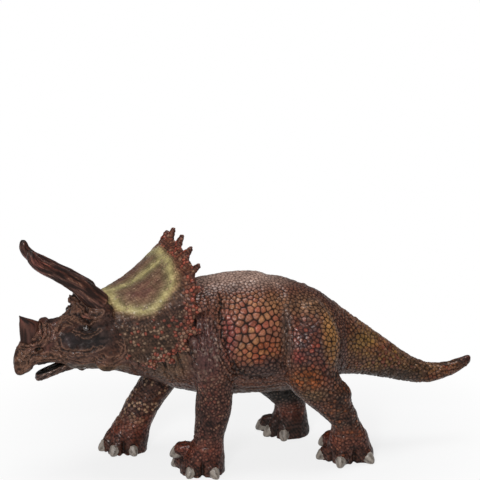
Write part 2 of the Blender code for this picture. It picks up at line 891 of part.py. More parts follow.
def make_jaw(skin):
    """The lower jaw: a spoon with a tongue, on a knuckle bored for the pin."""
    rings = []
    for forward, drop, tall, wide in blend_rows(jaw_shares, 2):
        centre = Vector((-jaw_length * forward, 0, -jaw_drop * drop))
        across = Vector((0, jaw_width * wide, 0))
        up = Vector((0, 0, jaw_depth * tall))
        rings.append(oval(centre, across, up, round_sides, power=jaw_roundness))
    jaw = add_object("lower_jaw", loft_mesh("lower_jaw", rings), skin_parts, hinge, skin)
    side = Vector((0, jaw_width / 2, 0))
    knuckle = cylinder_mesh("knuckle", -side, side, jaw_knuckle_radius, round_sides)
    shape(jaw, add_cutter("jaw_knuckle", knuckle, hinge), "UNION")
    slope = -math.atan2(jaw_drop, jaw_length)
    middle = Vector((
        -jaw_length * dish_forward_share,
        0,
        jaw_depth * dish_rise_share - jaw_drop * dish_drop_share,
    ))
    half = (jaw_length / 3, jaw_width / 2 - jaw_dish_depth / 2, jaw_dish_depth)
    dish = ball_mesh("jaw_dish", middle, half, ball_sides, slope)
    shape(jaw, add_cutter("jaw_dish", dish, hinge), "DIFFERENCE")
    half = (jaw_length / 4, tongue_width / 2, tongue_height)
    tongue = ball_mesh("tongue", middle - Vector((0, 0, jaw_dish_depth)), half, ball_sides, slope)
    shape(jaw, add_cutter("tongue", tongue, hinge), "UNION")
    reach = Vector((0, jaw_width, 0))
    bore = cylinder_mesh("jaw_bore", -reach, reach, pin_radius + pin_gap, round_sides)
    shape(jaw, add_cutter("jaw_bore", bore, hinge), "DIFFERENCE")


def make_pin(metal):
    """The pin that the jaw turns on, held in the cheeks."""
    half = Vector((0, pin_length / 2, 0))
    mesh = cylinder_mesh("jaw_pin", -half, half, pin_radius, round_sides)
    return add_object("jaw_pin", mesh, skin_parts, hinge, metal)


def cut_by_skull(piece):
    """Trim a piece to the skull's outer skin, with the seat gap all over."""
    for form in skull_grown:
        shape(piece, form, "DIFFERENCE")


def tube_object(name, points, group, parent):
    """A round tube with a radius at each point, made as a curve and kept as a mesh."""
    curve = bpy.data.curves.new(name, "CURVE")
    curve.dimensions = "3D"
    curve.bevel_mode = "ROUND"
    curve.bevel_depth = horn_radius
    curve.bevel_resolution = 2
    curve.use_fill_caps = True
    line = curve.splines.new("POLY")
    line.points.add(len(points) - 1)
    for point, (place, radius) in zip(line.points, points):
        point.co = (*place, 1.0)
        point.radius = radius / horn_radius
    guide = bpy.data.objects.new(name + "_guide", curve)
    group.objects.link(guide)
    bpy.context.view_layer.update()
    graph = bpy.context.evaluated_depsgraph_get()
    mesh = bpy.data.meshes.new_from_object(guide.evaluated_get(graph))
    bpy.data.objects.remove(guide, do_unlink=True)
    work = bmesh.new()
    work.from_mesh(mesh)
    bmesh.ops.remove_doubles(work, verts=work.verts, dist=weld_distance)
    bmesh.ops.recalc_face_normals(work, faces=work.faces)
    work.to_mesh(mesh)
    work.free()
    mesh.name = name
    thing = bpy.data.objects.new(name, mesh)
    group.objects.link(thing)
    thing.parent = parent
    return thing


def make_brow_horns(material, skull):
    """Two long brow horns, plugged into blind sockets in the brows."""
    for side, word in ((-1, "left"), (1, "right")):
        name = word + "_brow_horn"
        points = brow_horn_points(side)
        horn = tube_object(name, points, skin_parts, head)
        horn.data.materials.clear()
        horn.data.materials.append(material)
        cut_by_skull(horn)
        seat = points[0][0]
        along = (points[1][0] - seat).normalized()
        inner = seat - along * horn_spigot_depth
        outer = points[2][0]
        spigot = cylinder_mesh("horn_spigot", inner, outer, horn_spigot_radius, round_sides)
        shape(horn, add_cutter(name + "_spigot", spigot, head), "UNION")
        deep = inner - along * seat_gap
        socket = cylinder_mesh("horn_socket", deep, outer, horn_spigot_radius + seat_gap, round_sides)
        shape(skull, add_cutter(name + "_socket", socket, head), "DIFFERENCE")


def make_nose_horn(material, skull):
    """The short nose horn, plugged into the snout."""
    start = nose_horn_start()
    rings = []
    for rise, forward, long, wide in blend_rows(nose_horn_shares, 2):
        centre = start + Vector((-nose_horn_length * forward, 0, nose_horn_height * rise))
        along = Vector((nose_horn_length * long, 0, 0))
        across = Vector((0, nose_horn_width * wide, 0))
        rings.append(oval(centre, along, across, horn_sides))
    horn = add_object("nose_horn", loft_mesh("nose_horn", rings), skin_parts, head, material)
    cut_by_skull(horn)
    down = Vector((0, 0, horn_spigot_depth / 2))
    top = start + Vector((0, 0, nose_horn_height * nose_horn_shares[2][0]))
    spigot = cylinder_mesh("nose_spigot", start - down, top, nose_spigot_radius, round_sides)
    shape(horn, add_cutter("nose_spigot", spigot, head), "UNION")
    deep = start - down - Vector((0, 0, seat_gap))
    socket = cylinder_mesh("nose_socket", deep, top, nose_spigot_radius + seat_gap, round_sides)
    shape(skull, add_cutter("nose_socket", socket, head), "DIFFERENCE")


def shield_sheet(name, rows, columns):
    """The shield's outer skin as an open grid of faces."""
    work = bmesh.new()
    grid = []
    for row in range(rows + 1):
        share = row / rows * 2 - 1
        grid.append([
            work.verts.new(shield_point(share, column / columns)) for column in range(columns + 1)
        ])
    for row in range(rows):
        for column in range(columns):
            work.faces.new((
                grid[row][column],
                grid[row][column + 1],
                grid[row + 1][column + 1],
                grid[row + 1][column],
            ))
    mesh = bpy.data.meshes.new(name)
    work.to_mesh(mesh)
    work.free()
    return mesh


def make_shield(material, skull):
    """The dished shield, its rim spikes and the peg that locates it on the skull."""
    rows = 2 * 2 * (len(shield_rim_shares) - 1)
    columns = len(shield_dish_shares) - 1
    shield = add_object("neck_shield", shield_sheet("neck_shield", rows, columns), skin_parts, head, material)
    skin = shield.modifiers.new("wall", "SOLIDIFY")
    skin.thickness = shield_wall
    skin.offset = -1.0
    skin.use_rim = True
    for number in range(-spikes_each_side, spikes_each_side + 1):
        share = number / spikes_each_side * (1 - 1 / (4 * spikes_each_side))
        rim = shield_point(share, 1)
        along = (rim - shield_point(share, 1 - 1 / columns)).normalized()
        outward = Vector((0, rim.y, (rim.z - neck_z) / 2)).normalized()
        along = (along + outward).normalized()
        inward = Vector((0, rim.y, rim.z - neck_z)).normalized() * shield_wall / 2
        base = rim - inward - along * spike_radius
        tip = rim - inward + along * spike_length
        spike = cylinder_mesh("spike", base, tip, spike_radius, spike_sides, spike_tip_radius)
        shape(shield, add_cutter(f"spike_{number + spikes_each_side}", spike, head), "UNION")
    cut_by_skull(shield)
    shape(shield, torso_grown, "DIFFERENCE")
    top = shield_point(0, 2 / columns)
    peg_x = top.x
    peg_top = Vector((peg_x, 0, top.z - shield_wall / 2))
    skull_top = neck_z + skull_height * skull_shares[1][1]
    peg_low = Vector((peg_x, 0, skull_top - shield_peg_depth))
    peg = cylinder_mesh("shield_peg", peg_low, peg_top, shield_peg_radius, round_sides)
    shape(shield, add_cutter("shield_peg", peg, head), "UNION")
    deep = peg_low - Vector((0, 0, seat_gap))
    socket = cylinder_mesh("shield_socket", deep, peg_top, shield_peg_radius + seat_gap, round_sides)
    shape(skull, add_cutter("shield_socket", socket, head), "DIFFERENCE")


def centre_on_ground():
    """Move the whole figure so that the middle of its box stands over the origin."""
    bpy.context.view_layer.update()
    graph = bpy.context.evaluated_depsgraph_get()
    corners = []
    for thing in skin_parts.objects:
        ready = thing.evaluated_get(graph)
        mesh = ready.to_mesh()
        corners += [ready.matrix_world @ vertex.co for vertex in mesh.vertices]
        ready.to_mesh_clear()
    for axis in (0, 1):
        low = min(corner[axis] for corner in corners)
        high = max(corner[axis] for corner in corners)
        root.location[axis] = -(low + high) / 2
        print("span", "xy"[axis], round(high - low, 5), "moved", round(root.location[axis], 6))
    print("height", round(max(corner.z for corner in corners), 5))
    bpy.context.view_layer.update()
    print("jaw hinge", [round(value, 6) for value in hinge.matrix_world.translation])
    print("jaw axis", [round(value, 6) for value in hinge.matrix_world.to_3x3() @ Vector((0, -1, 0))])


clear_scene()
skin_parts = new_collection("toy_dinosaur_figure")
cutters = new_collection("shaping_forms")

root = bpy.data.objects.new("figure_root", None)
head = bpy.data.objects.new("head_turn", None)
hinge = bpy.data.objects.new("jaw_hinge", None)
for empty in (root, head, hinge):
    bpy.context.scene.collection.objects.link(empty)
head.parent = root
head.location = (neck_x, 0, 0)
head.rotation_euler = (0, 0, head_turn)
hinge.parent = head
hinge.location = (hinge_x, 0, hinge_z)

brown = paint("painted_brown", (0.17, 0.075, 0.05), 0.55)
umber = paint("painted_umber", (0.11, 0.06, 0.045), 0.5)
tan = paint("painted_tan", (0.30, 0.20, 0.15), 0.5)
grey = paint("painted_grey", (0.19, 0.15, 0.14), 0.5)
steel = paint("bright_steel", (0.55, 0.55, 0.56), 0.3)

torso_form = loft_mesh("torso_grown", torso_rings(seat_gap, torso_sides, 2))
torso_grown = add_cutter("torso_grown", torso_form, root)
skull_grown = [add_cutter("skull_grown", loft_mesh("skull_grown", skull_rings(seat_gap)), head)]
for brow_side in (-1, 1):
    brow = brow_mesh("brow_grown", brow_side, seat_gap)
    skull_grown.append(add_cutter("brow_grown", brow, head))

left_shell, right_shell = make_torso(brown)
make_pegs(left_shell, right_shell)
make_tail(brown, (left_shell, right_shell))
make_legs(brown, left_shell, right_shell)
skull_part = make_skull(brown, (left_shell, right_shell))
make_jaw(grey)
make_pin(steel)
make_brow_horns(umber, skull_part)
make_nose_horn(umber, skull_part)
make_shield(tan, skull_part)
centre_on_ground()
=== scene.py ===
"""Looks of the horned toy dinosaur: folded, scaled and painted skin, horns, nails, eyes and jaw.

The skin of the body, legs, tail, head and shield is modelled as one continuous surface over the
solids of the frame and then parted into one piece for each solid. Lengths are in millimetres in
the figure's own frame until a piece is finished, and the head has a frame that is turned with it.
"""

import json
import logging
import math
from collections.abc import Callable
from dataclasses import KW_ONLY, dataclass, field
from enum import Enum
from functools import partial

import bmesh
import bpy
import numpy as np
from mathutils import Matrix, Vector
from mathutils.bvhtree import BVHTree
from mathutils.kdtree import KDTree

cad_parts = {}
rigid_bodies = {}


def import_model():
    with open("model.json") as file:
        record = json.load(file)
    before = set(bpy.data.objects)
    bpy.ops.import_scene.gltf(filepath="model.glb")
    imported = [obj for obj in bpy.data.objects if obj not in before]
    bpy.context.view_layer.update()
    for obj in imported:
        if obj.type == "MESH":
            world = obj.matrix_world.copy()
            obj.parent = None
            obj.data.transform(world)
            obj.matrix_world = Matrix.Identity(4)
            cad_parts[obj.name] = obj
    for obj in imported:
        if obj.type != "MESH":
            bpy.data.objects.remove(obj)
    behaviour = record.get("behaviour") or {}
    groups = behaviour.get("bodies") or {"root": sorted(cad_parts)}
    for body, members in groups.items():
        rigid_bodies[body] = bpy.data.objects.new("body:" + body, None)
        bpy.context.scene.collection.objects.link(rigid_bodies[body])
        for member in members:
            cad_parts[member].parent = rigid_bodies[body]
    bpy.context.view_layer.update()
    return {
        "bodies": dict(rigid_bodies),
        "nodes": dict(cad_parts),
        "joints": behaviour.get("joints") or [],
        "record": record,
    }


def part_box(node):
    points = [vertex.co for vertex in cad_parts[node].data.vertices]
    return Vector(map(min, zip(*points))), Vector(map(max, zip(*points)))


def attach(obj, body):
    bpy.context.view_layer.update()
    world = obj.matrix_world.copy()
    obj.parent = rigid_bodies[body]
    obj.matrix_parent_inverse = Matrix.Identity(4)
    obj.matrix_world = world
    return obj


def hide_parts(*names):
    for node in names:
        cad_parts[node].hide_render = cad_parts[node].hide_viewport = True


log = logging.getLogger("toy_dinosaur")

MM = 0.001
NECK_X = -62.0
HEAD_TURN = math.radians(5)

TORSO = ("torso_left_shell", "torso_right_shell")
TAIL = ("tail",)
LEGS = ("front_left_leg", "front_right_leg", "hind_left_leg", "hind_right_leg")
HEAD = ("skull",)
SHIELD = ("neck_shield",)
SKIN_NODES = TORSO + TAIL + LEGS + HEAD + SHIELD

Colour = tuple[int, int, int]
Place = tuple[float, float, float]


class Side(Enum):
    """The sides of the figure that a fold, swelling or paint stroke is on."""

    LEFT = -1
    BOTH = 0
    RIGHT = 1


class Space(Enum):
    """The frame that a place is given in."""

    BODY = "body"
    HEAD = "head"


@dataclass(frozen=True)
class Paint:
    """A paint as the eye sees it, with red, green and blue from 0 to 255."""

    red: int
    green: int
    blue: int

    def linear(self) -> np.ndarray:
        """The paint as linear light."""
        value = np.array([self.red, self.green, self.blue]) / 255
        return np.where(value < 0.04045, value / 12.92, ((value + 0.055) / 1.055) ** 2.4)

    def rgba(self) -> tuple[float, float, float, float]:
        """The paint as a shader's colour."""
        return (*self.linear().tolist(), 1.0)


@dataclass
class PaintCoat:
    """The paint in the grooves and the paint on the crests, as linear light at each vertex."""

    ground: np.ndarray
    crest: np.ndarray

    @classmethod
    def plain(cls, count: int, ground: Colour, crest: Colour) -> "PaintCoat":
        """An even first coat on a number of vertices."""
        return cls(*(np.tile(Paint(*colour).linear(), (count, 1)) for colour in (ground, crest)))

    def lay(self, weight: np.ndarray, ground: Colour, crest: Colour) -> None:
        """Blend a pair of paints in.

        Args:
            weight: How much of the new paints each vertex takes, from 0 to 1.
            ground: The paint for the grooves.
            crest: The paint for the crests.
        """
        self.ground += (Paint(*ground).linear() - self.ground) * weight[:, None]
        self.crest += (Paint(*crest).linear() - self.crest) * weight[:, None]

    def enrich(self, share: float, least: float) -> None:
        """Make both paints more vivid by a share, and none darker than the least."""
        for paint in (self.ground, self.crest):
            plain = paint @ np.array([0.21, 0.72, 0.07])
            paint += (paint - plain[:, None]) * share
            np.maximum(paint, least, out=paint)


@dataclass
class FigureFrame:
    """Turns places between the figure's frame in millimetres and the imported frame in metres."""

    origin: np.ndarray = field(default_factory=lambda: np.zeros(3))

    def locate(self) -> None:
        """Set the origin from the two halves of the torso."""
        left_low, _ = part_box("torso_left_shell")
        _, right_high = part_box("torso_right_shell")
        self.origin = np.array([left_low.x / MM - NECK_X, (left_low.y + right_high.y) / MM / 2, 0.0])

    def inward(self, points: np.ndarray) -> np.ndarray:
        """Packed metres as figure millimetres."""
        return points / MM - self.origin

    def outward(self, points: np.ndarray) -> np.ndarray:
        """Figure millimetres as packed metres."""
        return (points + self.origin) * MM


def turn_head(points: np.ndarray, turn: float) -> np.ndarray:
    """Turn places about the upright line through the neck.

    Args:
        points: Places in millimetres, one a row.
        turn: The angle in radians, positive from the head's frame to the body's.

    Returns:
        The turned places.
    """
    x = points[:, 0] - NECK_X
    y = points[:, 1]
    cos, sin = math.cos(turn), math.sin(turn)
    return np.stack([cos * x - sin * y + NECK_X, sin * x + cos * y, points[:, 2]], axis=1)


def ease(value: np.ndarray) -> np.ndarray:
    """A value clipped to 0 and 1 with soft ends."""
    share = np.clip(value, 0, 1)
    return share * share * (3 - 2 * share)


def mottle(points: np.ndarray, size: float, seed: int) -> np.ndarray:
    """Soft irregular blotches.

    Args:
        points: Places in millimetres, one a row.
        size: The width of a blotch in millimetres.
        seed: Chooses the pattern.

    Returns:
        A value from 0 to 1 for each place.
    """
    random = np.random.default_rng(seed)
    total = np.zeros(len(points))
    for octave in range(3):
        waves = random.normal(size=(5, 3))
        waves /= np.linalg.norm(waves, axis=1)[:, None]
        phases = random.uniform(0, 2 * math.pi, 5)
        turns = points @ waves.T * (2 * math.pi / size * 1.9**octave)
        total += np.sin(turns + phases).sum(1) * 0.6**octave
    return 0.5 + 0.5 * np.tanh(total / 2.2)


@dataclass(frozen=True)
class Patch:
    """A soft oval region of the figure."""

    centre: Place
    reach: Place
    _: KW_ONLY
    side: Side = Side.BOTH
    space: Space = Space.BODY
    soft: float = 0.6
    nodes: tuple[str, ...] = ()

    def weight(self, places: "Places") -> np.ndarray:
        """How far each place is inside the region, from 0 to 1."""
        points = places.in_space(self.space)
        offset = points - np.array(self.centre)
        if self.side is Side.BOTH:
            offset[:, 1] = np.abs(points[:, 1]) - abs(self.centre[1])
        distance = np.sqrt(((offset / np.array(self.reach)) ** 2).sum(1))
        weight = ease((1 - distance) / self.soft)
        if self.nodes:
            weight *= places.on_nodes(self.nodes)
        return weight


@dataclass
class Places:
    """The vertices of the skin in both frames, with the solid that each lies on."""

    body: np.ndarray
    head: np.ndarray
    node: np.ndarray
    names: tuple[str, ...]

    def in_space(self, space: Space) -> np.ndarray:
        """The vertices in one of the frames."""
        return self.head if space is Space.HEAD else self.body

    def on_nodes(self, nodes: tuple[str, ...]) -> np.ndarray:
        """1 for the vertices that lie on the named solids, and 0 for the rest."""
        wanted = [self.names.index(name) for name in nodes]
        return np.isin(self.node, wanted).astype(float)


@dataclass(frozen=True)
class Crease:
    """A fold line in the skin, drawn on the side of the figure as x and z places.

    The lip is how far the skin rises beside the groove, as a share of the depth, and the rub is
    how much pale paint goes on the lip: partly rubbed paint, partly painted highlight.
    """

    line: tuple[tuple[float, float], ...]
    width: float = 1.1
    depth: float = 0.8
    side: Side = Side.BOTH
    space: Space = Space.BODY
    lip: float = 0.35
    rub_and_highlight: float = 0.3
    nodes: tuple[str, ...] = ()

    def distance(self, places: Places) -> np.ndarray:
        """Distance of each vertex from the line as seen from the side, in widths."""
        points = places.in_space(self.space)
        flat = points[:, (0, 2)]
        knots = smooth_line(np.array(self.line, float), 5)
        reach = self.width * 4
        near = (flat > knots.min(0) - reach).all(1) & (flat < knots.max(0) + reach).all(1)
        if self.side is Side.LEFT:
            near &= points[:, 1] < 0
        if self.side is Side.RIGHT:
            near &= points[:, 1] > 0
        if self.nodes:
            near &= places.on_nodes(self.nodes) > 0
        result = np.full(len(points), 9.0)
        chosen = flat[near]
        drift = [mottle(points[near], 6.5, seed) - 0.5 for seed in (41, 43)]
        chosen = chosen + np.stack(drift, axis=1) * (0.4 + 1.6 * self.width)
        best = np.full(len(chosen), reach * 2)
        count = len(knots) - 1
        for index in range(count):
            run = knots[index + 1] - knots[index]
            share = np.clip(((chosen - knots[index]) @ run) / (run @ run), 0, 1)
            gap = np.linalg.norm(chosen - knots[index] - share[:, None] * run, axis=1)
            along = (index + share) / count
            fade = 0.35 + 0.65 * np.sin(np.pi * np.clip(along, 0.03, 0.97)) ** 0.5
            best = np.minimum(best, gap / self.width / fade)
        result[near] = best
        return result


@dataclass(frozen=True)
class Swelling(Patch):
    """A region that stands out from the skin, or sinks into it where the push is negative."""

    push: float


@dataclass(frozen=True)
class ScaleZone(Patch):
    """A region with scales of one width and height, of which only the kept share rises."""

    width: float
    height: float
    kept: float = 1.0


@dataclass(frozen=True)
class WrinkleZone(Patch):
    """A region of fine folds that run one way."""

    along: Place
    spacing: float
    height: float

    def ridges(self, points: np.ndarray) -> np.ndarray:
        """Round ridges with sharp valleys between them, from 0 to 1."""
        along = np.array(self.along) / np.linalg.norm(self.along)
        across = np.cross(along, (0.0, 1.0, 0.0))
        across /= np.linalg.norm(across)
        run = points @ along
        stretched = points - 0.72 * run[:, None] * along
        drift = mottle(stretched, self.spacing * 4.5, 51)
        wave = np.abs(np.sin(np.pi * (points @ across / self.spacing + 2.6 * drift)))
        broken = ease(mottle(stretched, self.spacing * 3.1, 57) * 2.4 - 0.35)
        return 1 - (1 - wave) * broken


@dataclass(frozen=True)
class Stroke(Patch):
    """Two paints sprayed on a region: one that stays in the grooves and one on the scales.

    The pick is the range of scales, of all from 0 to 1, that the stroke is brushed on.
    """

    ground: Colour
    crest: Colour
    strength: float = 1.0
    rough_edge: float = 0.0
    pick: tuple[float, float] = (0.0, 1.0)


def smooth_line(knots: np.ndarray, steps: int) -> np.ndarray:
    """Places on a smooth curve through the given ones.

    Args:
        knots: The places that the curve passes, one a row.
        steps: The number of pieces between two of them.

    Returns:
        The places on the curve, the last knot included.
    """
    padded = np.vstack([2 * knots[0] - knots[1], knots, 2 * knots[-1] - knots[-2]])
    result = []
    for index in range(len(knots) - 1):
        a, b, c, d = padded[index : index + 4]
        for step in range(steps):
            t = step / steps
            result.append(
                b
                + (c - a) * t / 2
                + (2 * a - 5 * b + 4 * c - d) * t**2 / 2
                + (3 * b - a - 3 * c + d) * t**3 / 2
            )
    result.append(knots[-1])
    return np.array(result)


def sum_rows(index: np.ndarray, rows: np.ndarray, count: int) -> np.ndarray:
    """Add up the rows that have the same number.

    Args:
        index: The number of each row.
        rows: Three values a row.
        count: How many sums there are.

    Returns:
        The sums, one a row.
    """
    columns = [np.bincount(index, rows[:, axis], minlength=count) for axis in range(3)]
    return np.stack(columns, axis=1)


def point_tree(points: np.ndarray) -> KDTree:
    """A tree that finds the nearest of the points."""
    tree = KDTree(len(points))
    for index, point in enumerate(points):
        tree.insert(point, index)
    tree.balance()
    return tree


def edge_ends(quads: np.ndarray) -> tuple[np.ndarray, np.ndarray]:
    """The vertices at which the edges of each face start and end."""
    return quads.ravel(), np.roll(quads, -1, axis=1).ravel()


@dataclass
class Surface:
    """A mesh of four-sided faces held as arrays."""

    points: np.ndarray
    quads: np.ndarray

    def normals(self) -> np.ndarray:
        """The outward direction at each vertex."""
        corners = self.points[self.quads]
        across = np.cross(corners[:, 2] - corners[:, 0], corners[:, 3] - corners[:, 1])
        total = sum_rows(self.quads.ravel(), np.repeat(across, 4, axis=0), len(self.points))
        return total / np.maximum(np.linalg.norm(total, axis=1), 1e-9)[:, None]

    def relax(self, rounds: int, strength: np.ndarray) -> None:
        """Draw each vertex towards its neighbours.

        Args:
            rounds: How often this is done.
            strength: From 0 to 1 for each vertex.
        """
        starts, ends = edge_ends(self.quads)
        count = len(self.points)
        near = np.bincount(starts, minlength=count) + np.bincount(ends, minlength=count)
        share = strength[:, None] * 0.6
        for _ in range(rounds):
            for pull in (1.0, -0.9):
                total = sum_rows(starts, self.points[ends], count)
                total += sum_rows(ends, self.points[starts], count)
                mean = total / np.maximum(near, 1)[:, None]
                self.points = self.points + (mean - self.points) * share * pull

    def keep_largest(self) -> None:
        """Drop every shell but the one with the most vertices."""
        label = np.arange(len(self.points))
        starts, ends = edge_ends(self.quads)
        while True:
            low = np.minimum(label[starts], label[ends])
            after = label.copy()
            np.minimum.at(after, starts, low)
            np.minimum.at(after, ends, low)
            after = after[after]
            if (after == label).all():
                break
            label = after
        shells, sizes = np.unique(label, return_counts=True)
        kept = label == shells[sizes.argmax()]
        number = np.cumsum(kept) - 1
        self.quads = number[self.quads[kept[self.quads[:, 0]]]]
        self.points = self.points[kept]

    def split(self) -> "Surface":
        """The surface with every face parted smoothly into four."""
        count = len(self.points)
        starts, ends = edge_ends(self.quads)
        pairs = np.minimum(starts, ends) * count + np.maximum(starts, ends)
        edges, edge_of = np.unique(pairs, return_inverse=True)
        edge_of = edge_of.reshape(-1, 4)
        low, high = edges // count, edges % count
        middles = self.points[self.quads].mean(1)
        around = np.repeat(middles, 4, axis=0)
        halves = (self.points[low] + self.points[high]) / 2
        uses = np.bincount(edge_of.ravel(), minlength=len(edges))[:, None]
        edge_points = (halves + sum_rows(edge_of.ravel(), around, len(edges)) / uses) / 2
        faces_at = np.bincount(starts, minlength=count)[:, None]
        edges_at = np.bincount(np.append(low, high), minlength=count)[:, None]
        face_mean = sum_rows(starts, around, count) / faces_at
        edge_mean = sum_rows(np.append(low, high), np.vstack([halves, halves]), count) / edges_at
        corners = (face_mean + 2 * edge_mean + (faces_at - 3) * self.points) / faces_at
        edge_number = count + edge_of
        middle_number = count + len(edges) + np.arange(len(self.quads))
        quads = []
        for corner in range(4):
            before, after = edge_number[:, corner - 1], edge_number[:, corner]
            quads.append(np.stack([self.quads[:, corner], after, middle_number, before], axis=1))
        return Surface(np.vstack([corners, edge_points, middles]), np.stack(quads, 1).reshape(-1, 4))

    def to_mesh(self, name: str) -> bpy.types.Mesh:
        """The surface as a Blender mesh in the same units."""
        mesh = bpy.data.meshes.new(name)
        mesh.vertices.add(len(self.points))
        mesh.vertices.foreach_set("co", self.points.astype(np.float32).ravel())
        mesh.loops.add(self.quads.size)
        mesh.loops.foreach_set("vertex_index", self.quads.astype(np.int32).ravel())
        mesh.polygons.add(len(self.quads))
        mesh.polygons.foreach_set("loop_start", np.arange(0, self.quads.size, 4, dtype=np.int32))
        mesh.update(calc_edges=True)
        mesh.shade_smooth()
        return mesh


def read_points(mesh: bpy.types.Mesh) -> np.ndarray:
    """The vertices of a mesh, one a row."""
    values = np.empty(len(mesh.vertices) * 3, np.float32)
    mesh.vertices.foreach_get("co", values)
    return values.reshape(-1, 3).astype(float)


def read_quads(mesh: bpy.types.Mesh) -> np.ndarray:
    """The four corners of each face of a mesh that has only four-sided faces."""
    values = np.empty(len(mesh.loops), np.int32)
    mesh.loops.foreach_get("vertex_index", values)
    return values.reshape(-1, 4)


def mesh_from(work: bmesh.types.BMesh, name: str) -> bpy.types.Mesh:
    """The work as a mesh of that name, and the work freed."""
    mesh = bpy.data.meshes.new(name)
    work.to_mesh(mesh)
    work.free()
    return mesh


def link_piece(mesh: bpy.types.Mesh, finish: bpy.types.Material) -> bpy.types.Object:
    """A piece of the scene with the mesh's name and one finish."""
    mesh.materials.append(finish)
    piece = bpy.data.objects.new(mesh.name, mesh)
    bpy.context.scene.collection.objects.link(piece)
    return piece


def modified(mesh: bpy.types.Mesh, kind: str, **settings: object) -> bpy.types.Mesh:
    """A copy of a mesh with one modifier applied.

    Args:
        mesh: The mesh, which is removed.
        kind: The modifier's type.
        **settings: Its settings by name.

    Returns:
        The changed mesh.
    """
    carrier = bpy.data.objects.new("carrier", mesh)
    bpy.context.scene.collection.objects.link(carrier)
    step = carrier.modifiers.new("step", kind)
    for name, value in settings.items():
        setattr(step, name, value)
    bpy.context.view_layer.update()
    graph = bpy.context.evaluated_depsgraph_get()
    result = bpy.data.meshes.new_from_object(carrier.evaluated_get(graph))
    bpy.data.objects.remove(carrier, do_unlink=True)
    bpy.data.meshes.remove(mesh)
    return result


def joined_solids(names: tuple[str, ...], frame: FigureFrame, growth: float) -> bpy.types.Mesh:
    """The named solids as one mesh in figure millimetres.

    Args:
        names: The nodes.
        frame: Turns their places to the figure's frame.
        growth: How far each is grown along its normals in millimetres.

    Returns:
        The joined mesh.
    """
    weld = 0.01 * MM
    work = bmesh.new()
    for name in names:
        own = bmesh.new()
        own.from_mesh(bpy.data.objects[name].data)
        bmesh.ops.remove_doubles(own, verts=own.verts, dist=weld)
        bmesh.ops.recalc_face_normals(own, faces=own.faces)
        own.normal_update()
        grown = [Vector(frame.inward(np.array(item.co))) + item.normal * growth for item in own.verts]
        for vertex, place in zip(own.verts, grown):
            vertex.co = place
        part = mesh_from(own, name + "_grown")
        work.from_mesh(part)
        bpy.data.meshes.remove(part)
    return mesh_from(work, "joined_solids")


def torso_creases() -> list[Crease]:
    """Folds of the flanks, belly, shoulders and haunches."""
    return [
        Crease(
            ((-19, 111), (-20.5, 97), (-19.5, 84), (-13.5, 70), (-3, 61.5), (10, 59.5)),
            1.2, 1.0, lip=0.2,
        ),
        Crease(((-23, 108), (-24.5, 97), (-23.5, 84), (-18, 69), (-7, 59)), 0.8, 0.7),
        Crease(((-27, 110), (-28.5, 99), (-27.5, 86)), 0.7, 0.6),
        Crease(((-25, 80), (-21, 68), (-14, 60)), 0.7, 0.6),
        Crease(((-31.5, 104), (-32, 94), (-30, 83), (-27, 74)), 0.7, 0.6),
        Crease(((17, 84), (16.6, 76), (17.5, 67), (19, 60)), 0.9, 0.7, lip=0.2),
        Crease(((18.8, 100), (19.4, 90), (19.2, 80)), 0.6, 0.6),
        Crease(((20, 78), (20.6, 70), (22.5, 61)), 0.6, 0.6),
        Crease(((22.8, 96), (22.4, 86), (23.4, 74)), 0.6, 0.5),
        Crease(((-13, 56.5), (4, 54.8), (22, 55)), 0.7, 0.6),
        Crease(((-15, 52.5), (2, 51), (20, 51.5)), 0.7, 0.5),
        Crease(((-10, 48.5), (4, 47.5), (18, 48)), 0.7, 0.4),
        Crease(((-39, 104), (-37, 92), (-34.5, 82)), 0.9, 0.8),
        Crease(((-44, 92), (-41, 82), (-37.5, 73)), 0.9, 0.8),
        Crease(((-50, 86), (-47.5, 76), (-44, 66)), 0.9, 0.8),
        Crease(((53, 91), (54.5, 78), (52.5, 65), (48, 54)), 1.0, 1.1, lip=0.2),
        Crease(((23, 57), (34, 49.5), (49, 43)), 0.7, 0.5),
        Crease(((27, 61), (38, 54), (50, 49)), 0.6, 0.4),
        Crease(((26, 96), (33, 92.5), (42, 94)), 0.6, 0.4),
    ]


def leg_creases() -> list[Crease]:
    """Folds across the elbows, knees and ankles."""
    left = (
        ((-45, 57), (-38, 54), (-31, 56)),
        ((-43, 26), (-34, 24.5), (-24, 26.5)),
        ((-43, 20.5), (-36, 19), (-28, 19.5)),
        ((-38, 72), (-33, 67), (-26, 65)),
        ((42, 39), (52, 36), (62, 40)),
        ((49, 26), (58, 24), (68, 27)),
        ((48, 20.5), (56, 19), (64, 19.5)),
    )
    right = (
        ((-70, 41), (-60, 36), (-50, 38)),
        ((-76, 22), (-68, 19.5), (-60, 20)),
        ((24, 37), (34, 35), (46, 38)),
        ((26, 20), (34, 19), (43, 20.5)),
    )
    folds = [Crease(line, 0.6, 0.3, Side.LEFT, nodes=LEGS) for line in left]
    return folds + [Crease(line, 0.6, 0.3, Side.RIGHT, nodes=LEGS) for line in right]


def tail_creases() -> list[Crease]:
    """The raised line along the tail and the folds under its root."""
    folds = [
        Crease(
            ((56, 93), (75, 77), (92, 62), (108, 51), (124, 46), (138, 48)), 0.8, 0.35, lip=1.0, rub_and_highlight=0.8
        ),
        Crease(((56, 80), (70, 71), (86, 59), (104, 48)), 0.7, 0.4, lip=0.6),
    ]
    for step in range(11):
        x = 57 + step * 5.2
        top = 64 - step * 2.3
        folds.append(Crease(((x, top), (x - 1.2, top - 6), (x - 0.6, top - 12)), 0.6, 0.4))
    return folds


